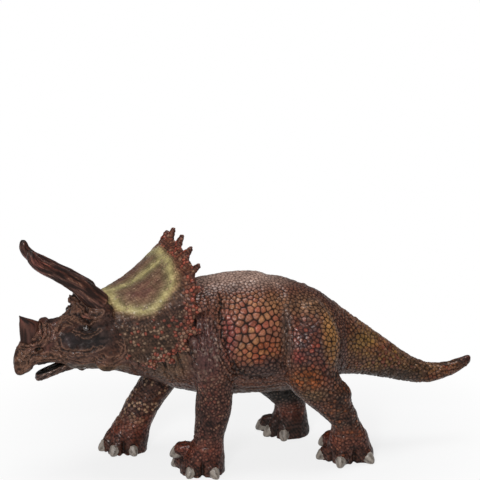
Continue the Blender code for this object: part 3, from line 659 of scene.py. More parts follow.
def head_creases() -> list[Crease]:
    """Lines of the beak and lips, and the folds of the face, brows and throat."""
    face = (
        (((-140.5, 79), (-135, 81.2), (-128, 81), (-121, 79), (-116.5, 74.5)), 0.8, 0.7),
        (((-137, 76), (-131, 78), (-124, 77.6), (-119.5, 75)), 0.6, 0.45),
        (((-144.5, 84), (-140, 80.5), (-139.5, 76), (-142, 70)), 0.6, 0.5),
        (((-145, 79), (-141.8, 77.5), (-141.5, 73.5), (-142.3, 69)), 0.6, 0.4),
        (((-137, 84.5), (-139.5, 81), (-140.8, 79)), 0.6, 0.4),
        (((-143, 89), (-137.5, 88.6), (-133, 91), (-130, 95), (-129.4, 99.5)), 0.8, 1.1),
        (((-142.5, 86.3), (-136.5, 86), (-131, 88.5), (-127.6, 93.5), (-126.8, 99)), 0.6, 0.5),
        (((-121.5, 92), (-121.3, 88), (-116.5, 84.3), (-106, 84.6), (-96, 87)), 0.7, 0.5),
        (((-122.5, 94.5), (-119, 97.5), (-114.5, 99.5), (-112, 98)), 0.6, 0.5),
        (((-117, 103), (-110, 103.6), (-104, 102.6), (-98.5, 104)), 0.9, 1.0),
        (((-112, 95.3), (-106, 93.6), (-100, 95.2), (-97, 98)), 0.6, 0.4),
        (((-98, 82), (-92.5, 78.5), (-86, 80.5), (-84, 86), (-87, 90)), 0.65, 0.4),
        (((-99, 78.5), (-92, 74.8), (-84.5, 77), (-81, 84), (-83, 92)), 0.65, 0.4),
        (((-118, 81), (-112, 79.6), (-105, 80.5), (-99, 79)), 0.6, 0.35),
        (((-115, 77.8), (-108, 76.8), (-101, 77)), 0.6, 0.3),
        (((-125.5, 86), (-121, 83.5), (-117.5, 80)), 0.6, 0.4),
        (((-111.5, 116), (-109.7, 110), (-110.6, 104.6)), 0.7, 0.7),
        (((-108.5, 113.5), (-107.5, 109), (-103, 105.4)), 0.65, 0.6),
        (((-105.6, 113.6), (-103.8, 108.6), (-99, 107.4), (-95.8, 110.5)), 0.7, 0.7),
        (((-102.5, 111.5), (-100, 109.4), (-96.6, 110)), 0.6, 0.5),
        (((-115, 101.3), (-113.6, 106), (-114.6, 109)), 0.6, 0.5),
        (((-124.8, 98.5), (-124.6, 94), (-125.8, 90)), 0.6, 0.4),
        (((-120, 101), (-116.5, 104), (-112.5, 105)), 0.6, 0.5),
        (((-134, 93), (-130.5, 91), (-127.5, 92)), 0.6, 0.4),
    )
    creases = [
        Crease(line, width, depth, space=Space.HEAD, nodes=HEAD, rub_and_highlight=1.0) for line, width, depth in face
    ]
    throat = (
        ((-73, 82), (-71, 72.5), (-66, 67.5)),
        ((-64, 81), (-62, 71.5), (-61, 64)),
        ((-57, 79), (-55, 69), (-53, 61.5)),
        ((-49, 76), (-49.5, 67), (-46, 59)),
        ((-69, 79), (-67, 71), (-64, 64)),
        ((-78, 80), (-76, 73), (-72, 67)),
        ((-53, 76), (-52, 66), (-50, 58)),
    )
    return creases + [Crease(line, 0.8, 0.55) for line in throat]


def swellings() -> list[Swelling]:
    """Muscles, brows, cheeks and hollows."""
    head = Space.HEAD
    return [
        Swelling((36, 32, 58), (11, 20, 12), 0.7, soft=0.9),
        Swelling((19, 32, 84), (6, 26, 30), -1.3, soft=1.0, nodes=TORSO),
        Swelling((-24, 32, 88), (5, 26, 26), -0.8, soft=1.0, nodes=TORSO),
        Swelling((3, 32, 60), (24, 26, 4), -0.8, soft=1.0, nodes=TORSO),
        Swelling((-34, 27, 44), (9, 14, 10), 0.8, soft=0.9, nodes=LEGS),
        Swelling((58, -28, 47), (10, 16, 8), 1.8, side=Side.LEFT, soft=0.9, nodes=LEGS),
        Swelling((61, -27, 25), (22, 20, 9), -1.7, side=Side.LEFT, soft=0.9, nodes=LEGS),
        Swelling((-103, 19, 90), (17, 10, 6.5), -1.6, space=head, nodes=HEAD, soft=0.7),
        Swelling((-109, 16, 106.3), (10, 8, 2.8), 1.5, space=head, nodes=HEAD),
        Swelling((-105.5, 18, 101.6), (5.4, 6, 1.9), 1.7, space=head, nodes=HEAD),
        Swelling((-105.0, 18, 96.2), (5.4, 6, 1.6), 1.3, space=head, nodes=HEAD),
        Swelling((-105.5, 19, 99.0), (3.4, 6, 1.3), -1.2, space=head, nodes=HEAD),
        Swelling((-132.4, 8, 84.4), (2.9, 6, 2.1), -2.4, space=head, nodes=HEAD),
        Swelling((-132.2, 8, 87.0), (3.6, 6, 1.4), 0.6, space=head, nodes=HEAD),
        Swelling((-122, 10, 80.2), (11, 10, 1.9), 0.9, space=head, nodes=HEAD),
        Swelling((-90, 20, 80), (8, 10, 5), 0.9, space=head, nodes=HEAD),
        Swelling((-91.5, 13, 109), (13, 11, 11), 4.4, space=head, nodes=HEAD, soft=0.8),
        Swelling((-103, 13, 110), (7, 9, 4), 0.8, space=head, nodes=HEAD),
        Swelling((-127, 0, 101), (3.2, 8, 3), 0.9, space=head, nodes=HEAD),
    ]


def scale_zones() -> list[ScaleZone]:
    """Where the scales are broad or fine. Later zones lie over earlier ones."""
    head = Space.HEAD
    return [
        ScaleZone((0, 0, 60), (400, 400, 400), 2.2, 0.34),
        ScaleZone((0, 30, 92), (58, 40, 40), 2.6, 0.42),
        ScaleZone((-2, 32, 93), (28, 28, 34), 4.8, 0.66, soft=0.9),
        ScaleZone((0, 32, 74), (20, 26, 10), 3.8, 0.62, soft=0.7),
        ScaleZone((37, 30, 62), (18, 26, 22), 3.0, 0.55, kept=0.8),
        ScaleZone((38, 28, 98), (26, 26, 16), 2.8, 0.40, kept=0.8),
        ScaleZone((46, 30, 84), (10, 26, 24), 3.2, 0.60),
        ScaleZone((-36, 30, 84), (16, 30, 26), 1.8, 0.34, kept=0.35),
        ScaleZone((0, 0, 119), (60, 30, 9), 2.2, 0.25),
        ScaleZone((0, 0, 50), (70, 26, 10), 2.0, 0.15, kept=0.3, nodes=TORSO),
        ScaleZone((100, 0, 60), (50, 30, 40), 2.4, 0.50, kept=0.85, nodes=TAIL),
        ScaleZone((74, 0, 76), (26, 30, 16), 3.1, 0.55, nodes=TAIL),
        ScaleZone((135, 0, 46), (20, 12, 14), 1.7, 0.30, kept=0.5, nodes=TAIL),
        ScaleZone((-40, 0, 36), (44, 80, 30), 1.9, 0.40, kept=0.36, nodes=LEGS),
        ScaleZone((54, 0, 34), (40, 80, 26), 2.1, 0.40, kept=0.42, nodes=LEGS),
        ScaleZone((0, 0, 0), (200, 80, 21), 1.9, 0.15, kept=0.07, soft=0.4, nodes=LEGS),
        ScaleZone((-110, 0, 92), (70, 60, 60), 1.6, 0.04, kept=0.06, space=head, nodes=HEAD),
        ScaleZone((-76, 0, 100), (16, 40, 30), 1.8, 0.26, kept=0.3, space=head, nodes=HEAD),
        ScaleZone((-70, 0, 74), (22, 30, 16), 1.9, 0.26, kept=0.3, space=head, nodes=HEAD),
    ]


def wrinkle_zones() -> list[WrinkleZone]:
    """Where the skin is drawn into fine folds, and which way they run."""
    head = Space.HEAD
    return [
        WrinkleZone((-32, 30, 84), (13, 30, 34), (0.12, 0, 1), 2.2, 0.45, soft=0.8),
        WrinkleZone((-50, 26, 78), (20, 30, 30), (-0.35, 0, 1), 2.8, 0.6, soft=0.7),
        WrinkleZone((19.5, 30, 84), (5, 30, 32), (0.05, 0, 1), 1.8, 0.3, soft=0.9),
        WrinkleZone((2, 30, 59), (26, 30, 8), (1, 0, -0.12), 1.9, 0.4, soft=0.8),
        WrinkleZone((0, 0, 49), (70, 28, 12), (1, 0, 0), 1.8, 0.5, soft=0.6, nodes=TORSO),
        WrinkleZone((84, 0, 46), (34, 20, 12), (0.1, 0, 1), 2.2, 0.32, soft=0.7, nodes=TAIL),
        WrinkleZone((90, 0, 66), (44, 30, 14), (1, 0, -0.8), 2.2, 0.2, soft=0.9, nodes=TAIL),
        WrinkleZone((0, 0, 19), (200, 80, 9), (1, 0, 0), 1.7, 0.35, soft=0.9, nodes=LEGS),
        WrinkleZone((-35, -30, 66), (14, 20, 10), (1, 0, 0.3), 2.0, 0.3, side=Side.LEFT, nodes=LEGS),
        WrinkleZone((-126, 0, 84), (16, 20, 20), (1, 0, 0.35), 1.5, 0.10, space=head, nodes=HEAD),
        WrinkleZone((-141, 0, 76), (8, 14, 12), (0.25, 0, 1), 1.3, 0.08, space=head, nodes=HEAD),
        WrinkleZone((-104, 20, 86), (18, 14, 10), (1, 0, 0.1), 2.0, 0.12, space=head, nodes=HEAD),
        WrinkleZone((-90, 14, 76), (26, 24, 10), (1, 0, -0.25), 1.9, 0.28, space=head, nodes=HEAD),
        WrinkleZone((-104, 14, 110), (12, 14, 7), (-0.5, 0, 1), 1.8, 0.2, space=head, nodes=HEAD),
        WrinkleZone((-74, 16, 76), (18, 24, 16), (-0.3, 0, 1), 2.3, 0.45, space=head),
    ]


def strokes() -> list[Stroke]:
    """The paint of the whole figure, from the undercoat to the last touches."""
    return body_strokes() + tail_strokes() + leg_strokes() + head_strokes()


def body_strokes() -> list[Stroke]:
    """The paint of the flanks, back, belly, shoulders and haunches, with painted shade and highlights.
    """
    barrel = (-2, 34, 96), (29, 30, 35)
    haunch = (38, 34, 84), (22, 30, 34)
    return [
        Stroke((0, 0, 60), (500, 500, 500), (30, 17, 13), (96, 56, 42)),
        Stroke((0, 0, 88), (64, 60, 44), (34, 19, 13), (112, 68, 50), nodes=TORSO),
        Stroke(*barrel, (34, 20, 13), (172, 112, 88), soft=0.9),
        Stroke(*barrel, (34, 20, 13), (188, 134, 96), 0.8, pick=(0.0, 0.24), soft=0.9),
        Stroke(*barrel, (34, 18, 13), (160, 84, 68), 0.8, pick=(0.76, 1.0), soft=0.9),
        Stroke((3, 34, 79), (18, 24, 12), (34, 18, 10), (176, 108, 62), 0.75, soft=0.9),
        Stroke((3, 34, 77), (18, 24, 12), (34, 15, 10), (150, 66, 44), 0.8, pick=(0.5, 1.0), soft=0.9),
        Stroke((14, 34, 107), (18, 26, 11), (38, 26, 16), (168, 126, 88), 0.75, soft=0.9),
        Stroke((8, 34, 71), (15, 24, 8), (24, 13, 11), (80, 42, 36), 0.9, 0.9, soft=0.9),
        Stroke((-17, 34, 90), (7, 26, 24), (36, 13, 15), (140, 60, 60), 0.85, soft=0.9),
        # Painted shade: the lower flank, where the barrel turns under, is painted dark.
        Stroke((2, 32, 64), (26, 26, 10), (22, 13, 12), (64, 38, 32), 0.95, soft=0.7),
        Stroke((0, 34, 71), (17, 24, 6), (24, 14, 12), (120, 60, 44), 0.8, pick=(0.8, 1.0), soft=0.9),
        # Painted shade: the belly is painted dark, as it is shadowed from above.
        Stroke((0, 0, 49), (70, 30, 11), (20, 13, 8), (72, 46, 30), soft=0.6, nodes=TORSO),
        # Painted highlight: the top of the back is painted pale grey-pink, where light from above
        # falls.
        Stroke((5, 0, 120), (66, 26, 13), (92, 70, 62), (196, 168, 154), 0.92, soft=0.8),
        # Painted shade: the valley between barrel and haunch is painted grey-dark.
        Stroke((19.5, 34, 88), (6, 26, 26), (28, 24, 22), (84, 66, 56), 0.9, soft=0.8),
        Stroke(*haunch, (30, 18, 15), (104, 58, 48), 0.9),
        Stroke(*haunch, (30, 17, 16), (68, 46, 46), 0.8, pick=(0.0, 0.35)),
        Stroke(*haunch, (34, 16, 13), (134, 64, 52), 0.8, pick=(0.82, 1.0)),
        Stroke((47, 30, 84), (9, 30, 28), (34, 22, 13), (168, 122, 76), 0.9, soft=0.8),
        Stroke((38, 30, 104), (24, 26, 12), (38, 25, 17), (158, 120, 88), 0.8, soft=0.8),
        Stroke((31, 34, 60), (14, 26, 12), (34, 20, 11), (158, 84, 38), 0.85, soft=0.7),
        Stroke((31, 34, 60), (14, 26, 12), (34, 20, 11), (96, 64, 36), 0.8, pick=(0.0, 0.4), soft=0.7),
        Stroke((25, 34, 75), (6, 26, 6), (42, 18, 16), (146, 60, 54), 0.7, 0.5, soft=0.8),
        Stroke(
            (36, 34, 49), (16, 26, 7), (26, 20, 13), (96, 74, 46), 0.8, soft=0.8, nodes=TORSO + LEGS
        ),
        Stroke((-33, 32, 84), (16, 34, 34), (28, 16, 17), (92, 58, 55), 0.95, soft=0.7),
        # Painted highlight: pale specks on some shoulder scales stand in for glints.
        Stroke(
            (-33, 32, 78), (16, 34, 30), (28, 17, 17), (150, 128, 116), 0.7, pick=(0.7, 1.0), soft=0.7
        ),
        Stroke((-33, 26, 108), (14, 30, 9), (34, 20, 16), (146, 92, 74), 0.7, soft=0.8),
        Stroke((-54, 26, 74), (20, 30, 26), (26, 19, 14), (98, 72, 52), 0.9, soft=0.7),
    ]


def tail_strokes() -> list[Stroke]:
    """The paint of the tail, with painted shade underneath."""
    whole = (100, 0, 60), (56, 40, 50)
    return [
        Stroke(*whole, (30, 18, 12), (112, 76, 46), nodes=TAIL),
        Stroke(*whole, (30, 18, 12), (138, 102, 58), 0.7, pick=(0.0, 0.3), nodes=TAIL),
        Stroke(*whole, (30, 16, 12), (118, 52, 38), 0.7, pick=(0.8, 1.0), nodes=TAIL),
        Stroke((64, 0, 94), (26, 20, 8), (44, 30, 26), (124, 88, 76), 0.8, nodes=TAIL),
        Stroke((86, 14, 68), (20, 14, 5), (40, 18, 16), (138, 66, 58), 0.6, nodes=TAIL),
        Stroke((106, 0, 57), (20, 8, 8), (34, 26, 22), (92, 72, 62), 0.6, nodes=TAIL),
        Stroke((74, 14, 72), (22, 20, 10), (32, 22, 12), (150, 116, 66), 0.7, nodes=TAIL, soft=0.9),
        # Painted shade: the underside of the tail is painted dark.
        Stroke((86, 0, 46), (44, 24, 12), (18, 13, 8), (60, 40, 25), 0.95, nodes=TAIL),
        Stroke((124, 0, 42), (22, 14, 9), (34, 16, 10), (128, 68, 34), 0.6, nodes=TAIL),
        Stroke((142, 0, 52), (12, 14, 12), (26, 14, 11), (84, 44, 34), 0.9, nodes=TAIL),
    ]


def leg_strokes() -> list[Stroke]:
    """The paint of the legs and feet, with painted shade on the far hind leg."""
    front_left = (-35, -25, 40), (26, 30, 44)
    hind_left = (58, -25, 36), (28, 30, 44)
    front_right = (-58, 25, 40), (34, 26, 44)
    near = {"side": Side.LEFT, "nodes": LEGS}
    far = {"side": Side.RIGHT, "nodes": LEGS}
    return [
        Stroke(*front_left, (24, 13, 10), (80, 45, 35), **near),
        Stroke(*front_left, (28, 15, 12), (124, 88, 68), 0.7, pick=(0.8, 1.0), **near),
        Stroke(*front_left, (26, 14, 11), (104, 48, 36), 0.6, pick=(0.0, 0.3), **near),
        Stroke(*hind_left, (24, 14, 10), (86, 50, 34), **near),
        Stroke(*hind_left, (26, 14, 11), (132, 74, 42), 0.8, pick=(0.7, 1.0), **near),
        Stroke(*hind_left, (22, 17, 12), (64, 46, 34), 0.7, pick=(0.0, 0.3), **near),
        # Painted shade: the far hind leg, under the body, is painted near black.
        Stroke((34, 28, 30), (36, 26, 36), (14, 11, 8), (40, 30, 21), **far),
        Stroke(*front_right, (26, 15, 12), (92, 56, 43), **far),
        Stroke(*front_right, (30, 18, 14), (168, 134, 108), 0.85, pick=(0.5, 1.0), **far),
        Stroke((0, 0, 16), (200, 80, 14), (32, 15, 11), (122, 59, 43), 0.85, soft=0.9, nodes=LEGS),
        # Painted shade: the far hind foot is painted dark.
        Stroke((34, 28, 8), (24, 26, 12), (20, 15, 12), (66, 42, 34), 0.8, **far),
    ]


def head_strokes() -> list[Stroke]:
    """The paint of the head, with painted shade in the hollows and a painted sheen by the eye."""
    head = {"space": Space.HEAD, "nodes": HEAD}
    return [
        Stroke((-110, 0, 92), (60, 50, 50), (26, 15, 12), (74, 45, 35), **head),
        Stroke((-128, 0, 90), (18, 20, 16), (30, 16, 13), (90, 52, 42), **head),
        Stroke((-142, 0, 76), (9, 14, 14), (38, 24, 19), (114, 80, 62), 0.9, **head),
        Stroke((-126, 10, 79), (14, 14, 4), (40, 24, 18), (128, 88, 66), 0.7, **head),
        # Painted sheen: a violet-grey patch in front of the eye stands in for the sheen in the eye
        # hollow.
        Stroke((-116, 20, 91), (10, 14, 5), (38, 30, 31), (88, 72, 72), 0.75, **head),
        # Painted shade: the eye hollow is painted dark.
        Stroke((-101, 20, 92), (13, 14, 10), (20, 15, 14), (62, 46, 42), 0.9, **head),
        Stroke((-110, 18, 106), (11, 10, 3.5), (44, 20, 17), (118, 62, 52), 0.7, **head),
        Stroke((-80, 18, 100), (16, 20, 26), (24, 16, 13), (70, 44, 34), 0.8, **head),
        Stroke((-90, 20, 82), (11, 14, 8), (34, 20, 15), (96, 60, 44), 0.7, **head),
        Stroke((-98, 14, 71), (30, 20, 6), (34, 24, 17), (116, 88, 62), 0.8, **head),
        # Painted shade: the nostril hollow is painted near black.
        Stroke((-132.4, 8, 84.4), (2.8, 8, 2.1), (8, 8, 5), (14, 13, 9), **head),
        # Painted shade: the mouth slot above the jaw is painted near black.
        Stroke((-120, 0, 72), (16, 5.9, 6), (10, 8, 6), (26, 18, 15), **head),
    ]


@dataclass
class ShieldRing:
    """The paint and beads of the shield, laid out on its run from collar to rim.

    A place on the shield has a side share, from -1 at the left end over 0 at the middle to 1 at
    the right end, and a run share, from 0 at the collar to 1 at the rim.
    """

    steps: int = 6
    runs: int = 40
    collar_width: float = 43.0
    width: float = 76.0
    height: float = 57.5
    depth: float = 47.0
    collar_height: float = 31.6
    start_x: float = -88.9
    base_z: float = 82.7
    rim_shares: tuple[tuple[float, float, float], ...] = (
        (0.00, 1.00, 1.00), (0.23, 0.99, 1.00), (0.44, 0.91, 1.01),
        (0.56, 0.76, 1.00), (0.57, 0.57, 0.98), (0.51, 0.35, 0.96),
        (0.45, 0.14, 0.90), (0.34, -0.02, 0.75), (0.28, -0.10, 0.55),
        (0.23, -0.13, 0.36),
    )
    collar_shares: tuple[tuple[float, float, float], ...] = (
        (0.00, 1.00, 0.00), (0.16, 0.97, 0.01), (0.29, 0.89, 0.02),
        (0.40, 0.75, 0.03), (0.45, 0.59, 0.04), (0.49, 0.42, 0.04),
        (0.50, 0.26, 0.05), (0.50, 0.11, 0.05), (0.49, -0.01, 0.05),
        (0.46, -0.12, 0.05),
    )
    ring_shares: tuple[tuple[float, float], ...] = (
        (0.02, 0.02), (0.26, 0.05), (0.33, 0.12), (0.40, 0.30),
        (0.41, 0.45), (0.38, 0.55), (0.32, 0.65), (0.27, 0.72),
        (0.17, 0.76), (0.05, 0.80), (0.00, 0.72), (0.00, 0.45),
        (0.00, 0.20), (0.02, 0.02),
    )

    def grid(self) -> tuple[np.ndarray, np.ndarray]:
        """Places over the shield in the head's frame, and their side and run shares."""
        rim = smooth_line(np.array(self.rim_shares), self.steps)
        collar = smooth_line(np.array(self.collar_shares), self.steps)
        side_shares = np.linspace(0, 1, len(rim))
        root = self.collar_width * collar[:, 0]
        out = root + (self.width - self.collar_width) * rim[:, 0]
        top, low = self.height * rim[:, 1], self.collar_height * collar[:, 1]
        outer = np.stack([self.start_x + self.depth * rim[:, 2], out, self.base_z + top], axis=1)
        inner = np.stack([self.start_x + self.depth * collar[:, 2], root, self.base_z + low], axis=1)
        places, shares = [], []
        for run in np.linspace(0, 1, self.runs):
            line = inner + (outer - inner) * run
            for sign in (-1, 1):
                places.append(line * np.array([1, sign, 1]))
                shares.append(np.stack([side_shares * sign, np.full(len(rim), run)], axis=1))
        return np.vstack(places), np.vstack(shares)

    def shares_at(self, points: np.ndarray) -> np.ndarray:
        """The side and run shares of the shield place nearest to each point."""
        places, shares = self.grid()
        tree = point_tree(places)
        found = [tree.find(point)[1] for point in points]
        return shares[found]

    def ring_distance(self, shares: np.ndarray) -> tuple[np.ndarray, np.ndarray]:
        """How far places lie from the ring, and whether they are inside it.

        Args:
            shares: Side and run shares, one pair a row.

        Returns:
            The distance in millimetres along the shield, and 1 inside the ring or 0 outside.
        """
        stretch = np.array([self.height * 1.35, self.depth * 1.1])
        line = smooth_line(np.array(self.ring_shares), 5) * stretch
        flat = np.abs(shares) * stretch
        best = np.full(len(flat), 99.0)
        inside = np.zeros(len(flat), bool)
        for start, end in zip(line[:-1], line[1:]):
            run = end - start
            share = np.clip(((flat - start) @ run) / max(run @ run, 1e-9), 0, 1)
            best = np.minimum(best, np.linalg.norm(flat - start - share[:, None] * run, axis=1))
            crosses = (start[1] > flat[:, 1]) != (end[1] > flat[:, 1])
            if crosses.any():
                x = start[0] + (flat[:, 1] - start[1]) / (end[1] - start[1]) * run[0]
                inside ^= crosses & (flat[:, 0] < x)
        return best, inside.astype(float)


@dataclass
class Skin:
    """The one skin of the body, legs, tail, head and shield."""

    frame: FigureFrame
    soles: dict[str, np.ndarray]
    voxel: float = 0.85
    growth: float = 0.28
    relax_rounds: int = 34
    fill_rounds: int = 260
    toe_gap_depth: float = 2.0
    scale_spacing: float = 0.78
    groove_share: float = 0.46
    dome_share: float = 0.75
    relief_share: float = 0.208
    lump_height: float = 0.35
    coarse: Surface | None = None
    fine: Surface | None = None
    face_node: np.ndarray | None = None
    places: Places | None = None
    relief: np.ndarray | None = None
    tone: np.ndarray | None = None
    hue: np.ndarray | None = None
    crease: np.ndarray | None = None
    edge: np.ndarray | None = None
    raised: np.ndarray | None = None
    shield: tuple[np.ndarray, ...] = ()
    toe_gap: np.ndarray | None = None
    coat: PaintCoat | None = None

    def build(self) -> None:
        """Model the skin from the solids to its last scale."""
        self.wrap()
        self.name_faces()
        self.soften()
        self.refine()
        self.swell()
        self.fold()
        self.grow_scales()
        self.spray()

    def wrap(self) -> None:
        """Close the joints between the solids under one even mesh."""
        mesh = joined_solids(SKIN_NODES, self.frame, self.growth)
        mesh = modified(mesh, "REMESH", mode="VOXEL", voxel_size=self.voxel, adaptivity=0.0)
        self.coarse = Surface(read_points(mesh), read_quads(mesh))
        bpy.data.meshes.remove(mesh)
        self.coarse.keep_largest()
        log.info("skin wrapped: %d vertices", len(self.coarse.points))

    def name_faces(self) -> None:
        """Note which solid each face lies on."""
        points, faces, owner = [], [], []
        start = 0
        for number, name in enumerate(SKIN_NODES):
            mesh = bpy.data.objects[name].data
            places = self.frame.inward(read_points(mesh))
            points.extend(places.tolist())
            for polygon in mesh.polygons:
                faces.append([start + corner for corner in polygon.vertices])
                owner.append(number)
            start += len(places)
        tree = BVHTree.FromPolygons(points, faces)
        centres = self.coarse.points[self.coarse.quads].mean(1)
        self.face_node = np.array([owner[tree.find_nearest(centre)[2]] for centre in centres])

    def places_of(self, surface: Surface, face_node: np.ndarray) -> Places:
        """The vertices of a surface in both frames."""
        node = np.zeros(len(surface.points), int)
        node[surface.quads.ravel()] = np.repeat(face_node, 4)
        head = turn_head(surface.points, -HEAD_TURN)
        return Places(surface.points.copy(), head, node, SKIN_NODES)

    def soften(self) -> None:
        """Round off the facets, and fill the sockets that are modelled anew."""
        places = self.places_of(self.coarse, self.face_node)
        strength = np.ones(len(self.coarse.points))
        strength -= 0.55 * places.on_nodes(HEAD) + 0.75 * places.on_nodes(SHIELD)
        feet = ease((14 - places.body[:, 2]) / 6)
        strength *= 1 - 0.6 * feet
        self.coarse.relax(self.relax_rounds, strength)
        socket = Patch((-105.8, 19, 99), (11, 9, 8.5), space=Space.HEAD, soft=0.25, nodes=HEAD)
        nostril = Patch((-132.7, 8, 85), (6, 7, 6), space=Space.HEAD, soft=0.25, nodes=HEAD)
        hollow = np.maximum(socket.weight(places), nostril.weight(places))
        starts = self.coarse.points.copy()
        self.coarse.relax(3, strength)
        self.fill(hollow)
        self.coarse.points[hollow <= 0] = starts[hollow <= 0]

    def fill(self, hollow: np.ndarray) -> None:
        """Draw a skin over hollows.

        Args:
            hollow: 1 at the vertices that are drawn over, falling to 0 at their edge.
        """
        quads = self.coarse.quads
        used = (hollow[quads] > 0).any(1)
        quads = quads[used]
        starts, ends = edge_ends(quads)
        count = len(self.coarse.points)
        near = np.bincount(starts, minlength=count) + np.bincount(ends, minlength=count)
        inner = hollow > 0
        for _ in range(self.fill_rounds):
            for axis in range(3):
                column = self.coarse.points[:, axis]
                total = np.bincount(starts, column[ends], minlength=count)
                total += np.bincount(ends, column[starts], minlength=count)
                mean = total[inner] / near[inner]
                self.coarse.points[inner, axis] += (mean - column[inner]) * 0.9

    def refine(self) -> None:
        """Part every face into four."""
        self.fine = self.coarse.split()
        self.face_node = np.repeat(self.face_node, 4)
        self.places = self.places_of(self.fine, self.face_node)
        log.info("skin refined: %d vertices", len(self.fine.points))

    def swell(self) -> None:
        """Raise the muscles, brows, lids and cheeks, and part the toes."""
        push = np.zeros(len(self.fine.points))
        for swelling in swellings():
            push += swelling.push * swelling.weight(self.places)
        self.toe_gap = np.zeros(len(self.fine.points))
        for foot in FEET:
            swell, gap = foot.shape(self.places.body, self.soles[foot.mount])
            push += swell - self.toe_gap_depth * gap
            self.toe_gap = np.maximum(self.toe_gap, gap)
        self.fine.points += self.fine.normals() * push[:, None]
        self.pinch_beak()
        self.places = self.places_of(self.fine, self.face_node)

    def pinch_beak(self) -> None:
        """Draw the beak in to a keel in front and a hook below."""
        head = turn_head(self.fine.points, -HEAD_TURN)
        on_head = self.places.on_nodes(HEAD)
        keel = ease((-137.5 - head[:, 0]) / 8) * on_head
        hook = ease((75 - head[:, 2]) / 9) * ease((-131 - head[:, 0]) / 8) * on_head
        head[:, 1] *= 1 - 0.30 * keel - 0.25 * hook
        head[:, 0] -= 0.8 * hook
        self.fine.points = turn_head(head, HEAD_TURN)

    def fold(self) -> None:
        """Press in the folds and raise their lips; note painted shade in the grooves and pale lip
        paint.
        """
        depth = np.zeros(len(self.fine.points))
        # Painted shade: the gaps between the toes start the crease share, which is painted near black.
        self.crease = 0.8 * self.toe_gap
        self.edge = np.zeros(len(self.fine.points))
        folds = torso_creases() + leg_creases() + tail_creases() + head_creases()
        for fold in folds:
            gap = fold.distance(self.places)
            groove = np.exp(-(gap**2))
            lip = np.exp(-(((gap - 2.0) / 0.9) ** 2)) * (gap < 8)
            depth += fold.depth * (lip * fold.lip - groove)
            # Painted shade in each fold's groove, partly a dark wash.
            self.crease = np.maximum(self.crease, groove * min(fold.depth, 1.0))
            # Pale paint on each fold's lips: partly rubbed paint, partly painted highlight.
            self.edge = np.maximum(self.edge, lip * fold.rub_and_highlight)
        self.fine.points += self.fine.normals() * depth[:, None]
        self.places = self.places_of(self.fine, self.face_node)

    def grow_scales(self) -> None:
        """Set scales of the width that each zone has, raise them, and draw the fine folds."""
        count = len(self.fine.points)
        width = np.full(count, 2.3)
        height = np.full(count, 0.3)
        kept = np.ones(count)
        for zone in scale_zones():
            weight = zone.weight(self.places)
            width += (zone.width - width) * weight
            height += (zone.height - height) * weight
            kept += (zone.kept - kept) * weight
        self.bead_shield(width, height, kept)
        seeds = self.scatter(width)
        first, second, owner = self.nearest_two(seeds)
        plate = ease((second - first) / (self.groove_share * width))
        dome = np.clip(1 - (first / (self.dome_share * width)) ** 2, 0, 1)
        scale = 0.6 * plate + 0.4 * dome
        random = np.random.default_rng(5)
        self.tone = random.uniform(0, 1, len(seeds))[owner]
        self.hue = random.uniform(0, 1, len(seeds))[owner]
        leather = mottle(self.places.body, 1.7, 63) * 0.6 + mottle(self.places.body, 4.5, 65) * 0.4
        flat = random.uniform(0, 1, len(seeds))[owner] > kept[seeds][owner]
        scale = np.where(flat, 0.95 * leather, scale)
        self.raised = 1.0 - flat
        self.tone = np.where(flat, mottle(self.places.body, 7, 67), self.tone)
        self.relief = scale
        rise = np.zeros(count)
        for zone in wrinkle_zones():
            weight = zone.weight(self.places) * (1 - self.places.on_nodes(SHIELD))
            near = weight > 0
            ridges = zone.ridges(self.places.body[near])
            share = weight[near]
            rise[near] += zone.height * share * (ridges - 0.7)
            height[near] *= 1 - 0.5 * share
            deep = min(zone.height * 1.2, 0.65)
            self.relief[near] += (ridges - self.relief[near]) * share * deep
        rise += self.relief_share * width * height * (scale - 0.45)
        rise += self.lump_height * (mottle(self.places.body, 7, 61) - 0.5)
        rise *= 1 - 0.6 * self.crease
        self.fine.points += self.fine.normals() * rise[:, None]
        self.fine.points[:, 2] = np.maximum(self.fine.points[:, 2], 0)
        self.smooth_face()
        log.info("scales set: %d", len(seeds))

    def smooth_face(self) -> None:
        """Take the scales out of the paint where the skin is bare leather, and darken the eye hollow.
        """
        bare = Patch((-118, 0, 88), (36, 60, 40), space=Space.HEAD, nodes=HEAD, soft=0.3)
        share = bare.weight(self.places)
        leather = mottle(self.places.head, 3.0, 71) * 0.4 + mottle(self.places.head, 7, 73) * 0.6
        self.relief += (0.8 * leather + 0.2 * self.relief - self.relief) * share
        self.tone += (mottle(self.places.head, 9, 75) - self.tone) * share
        # Painted shade: less raised paint in the eye hollow darkens it, and also dulls its gloss.
        hollow = Patch((-110, 20, 92), (20, 14, 11), space=Space.HEAD, nodes=HEAD, soft=0.6)
        self.relief *= 1 - 0.5 * hollow.weight(self.places)

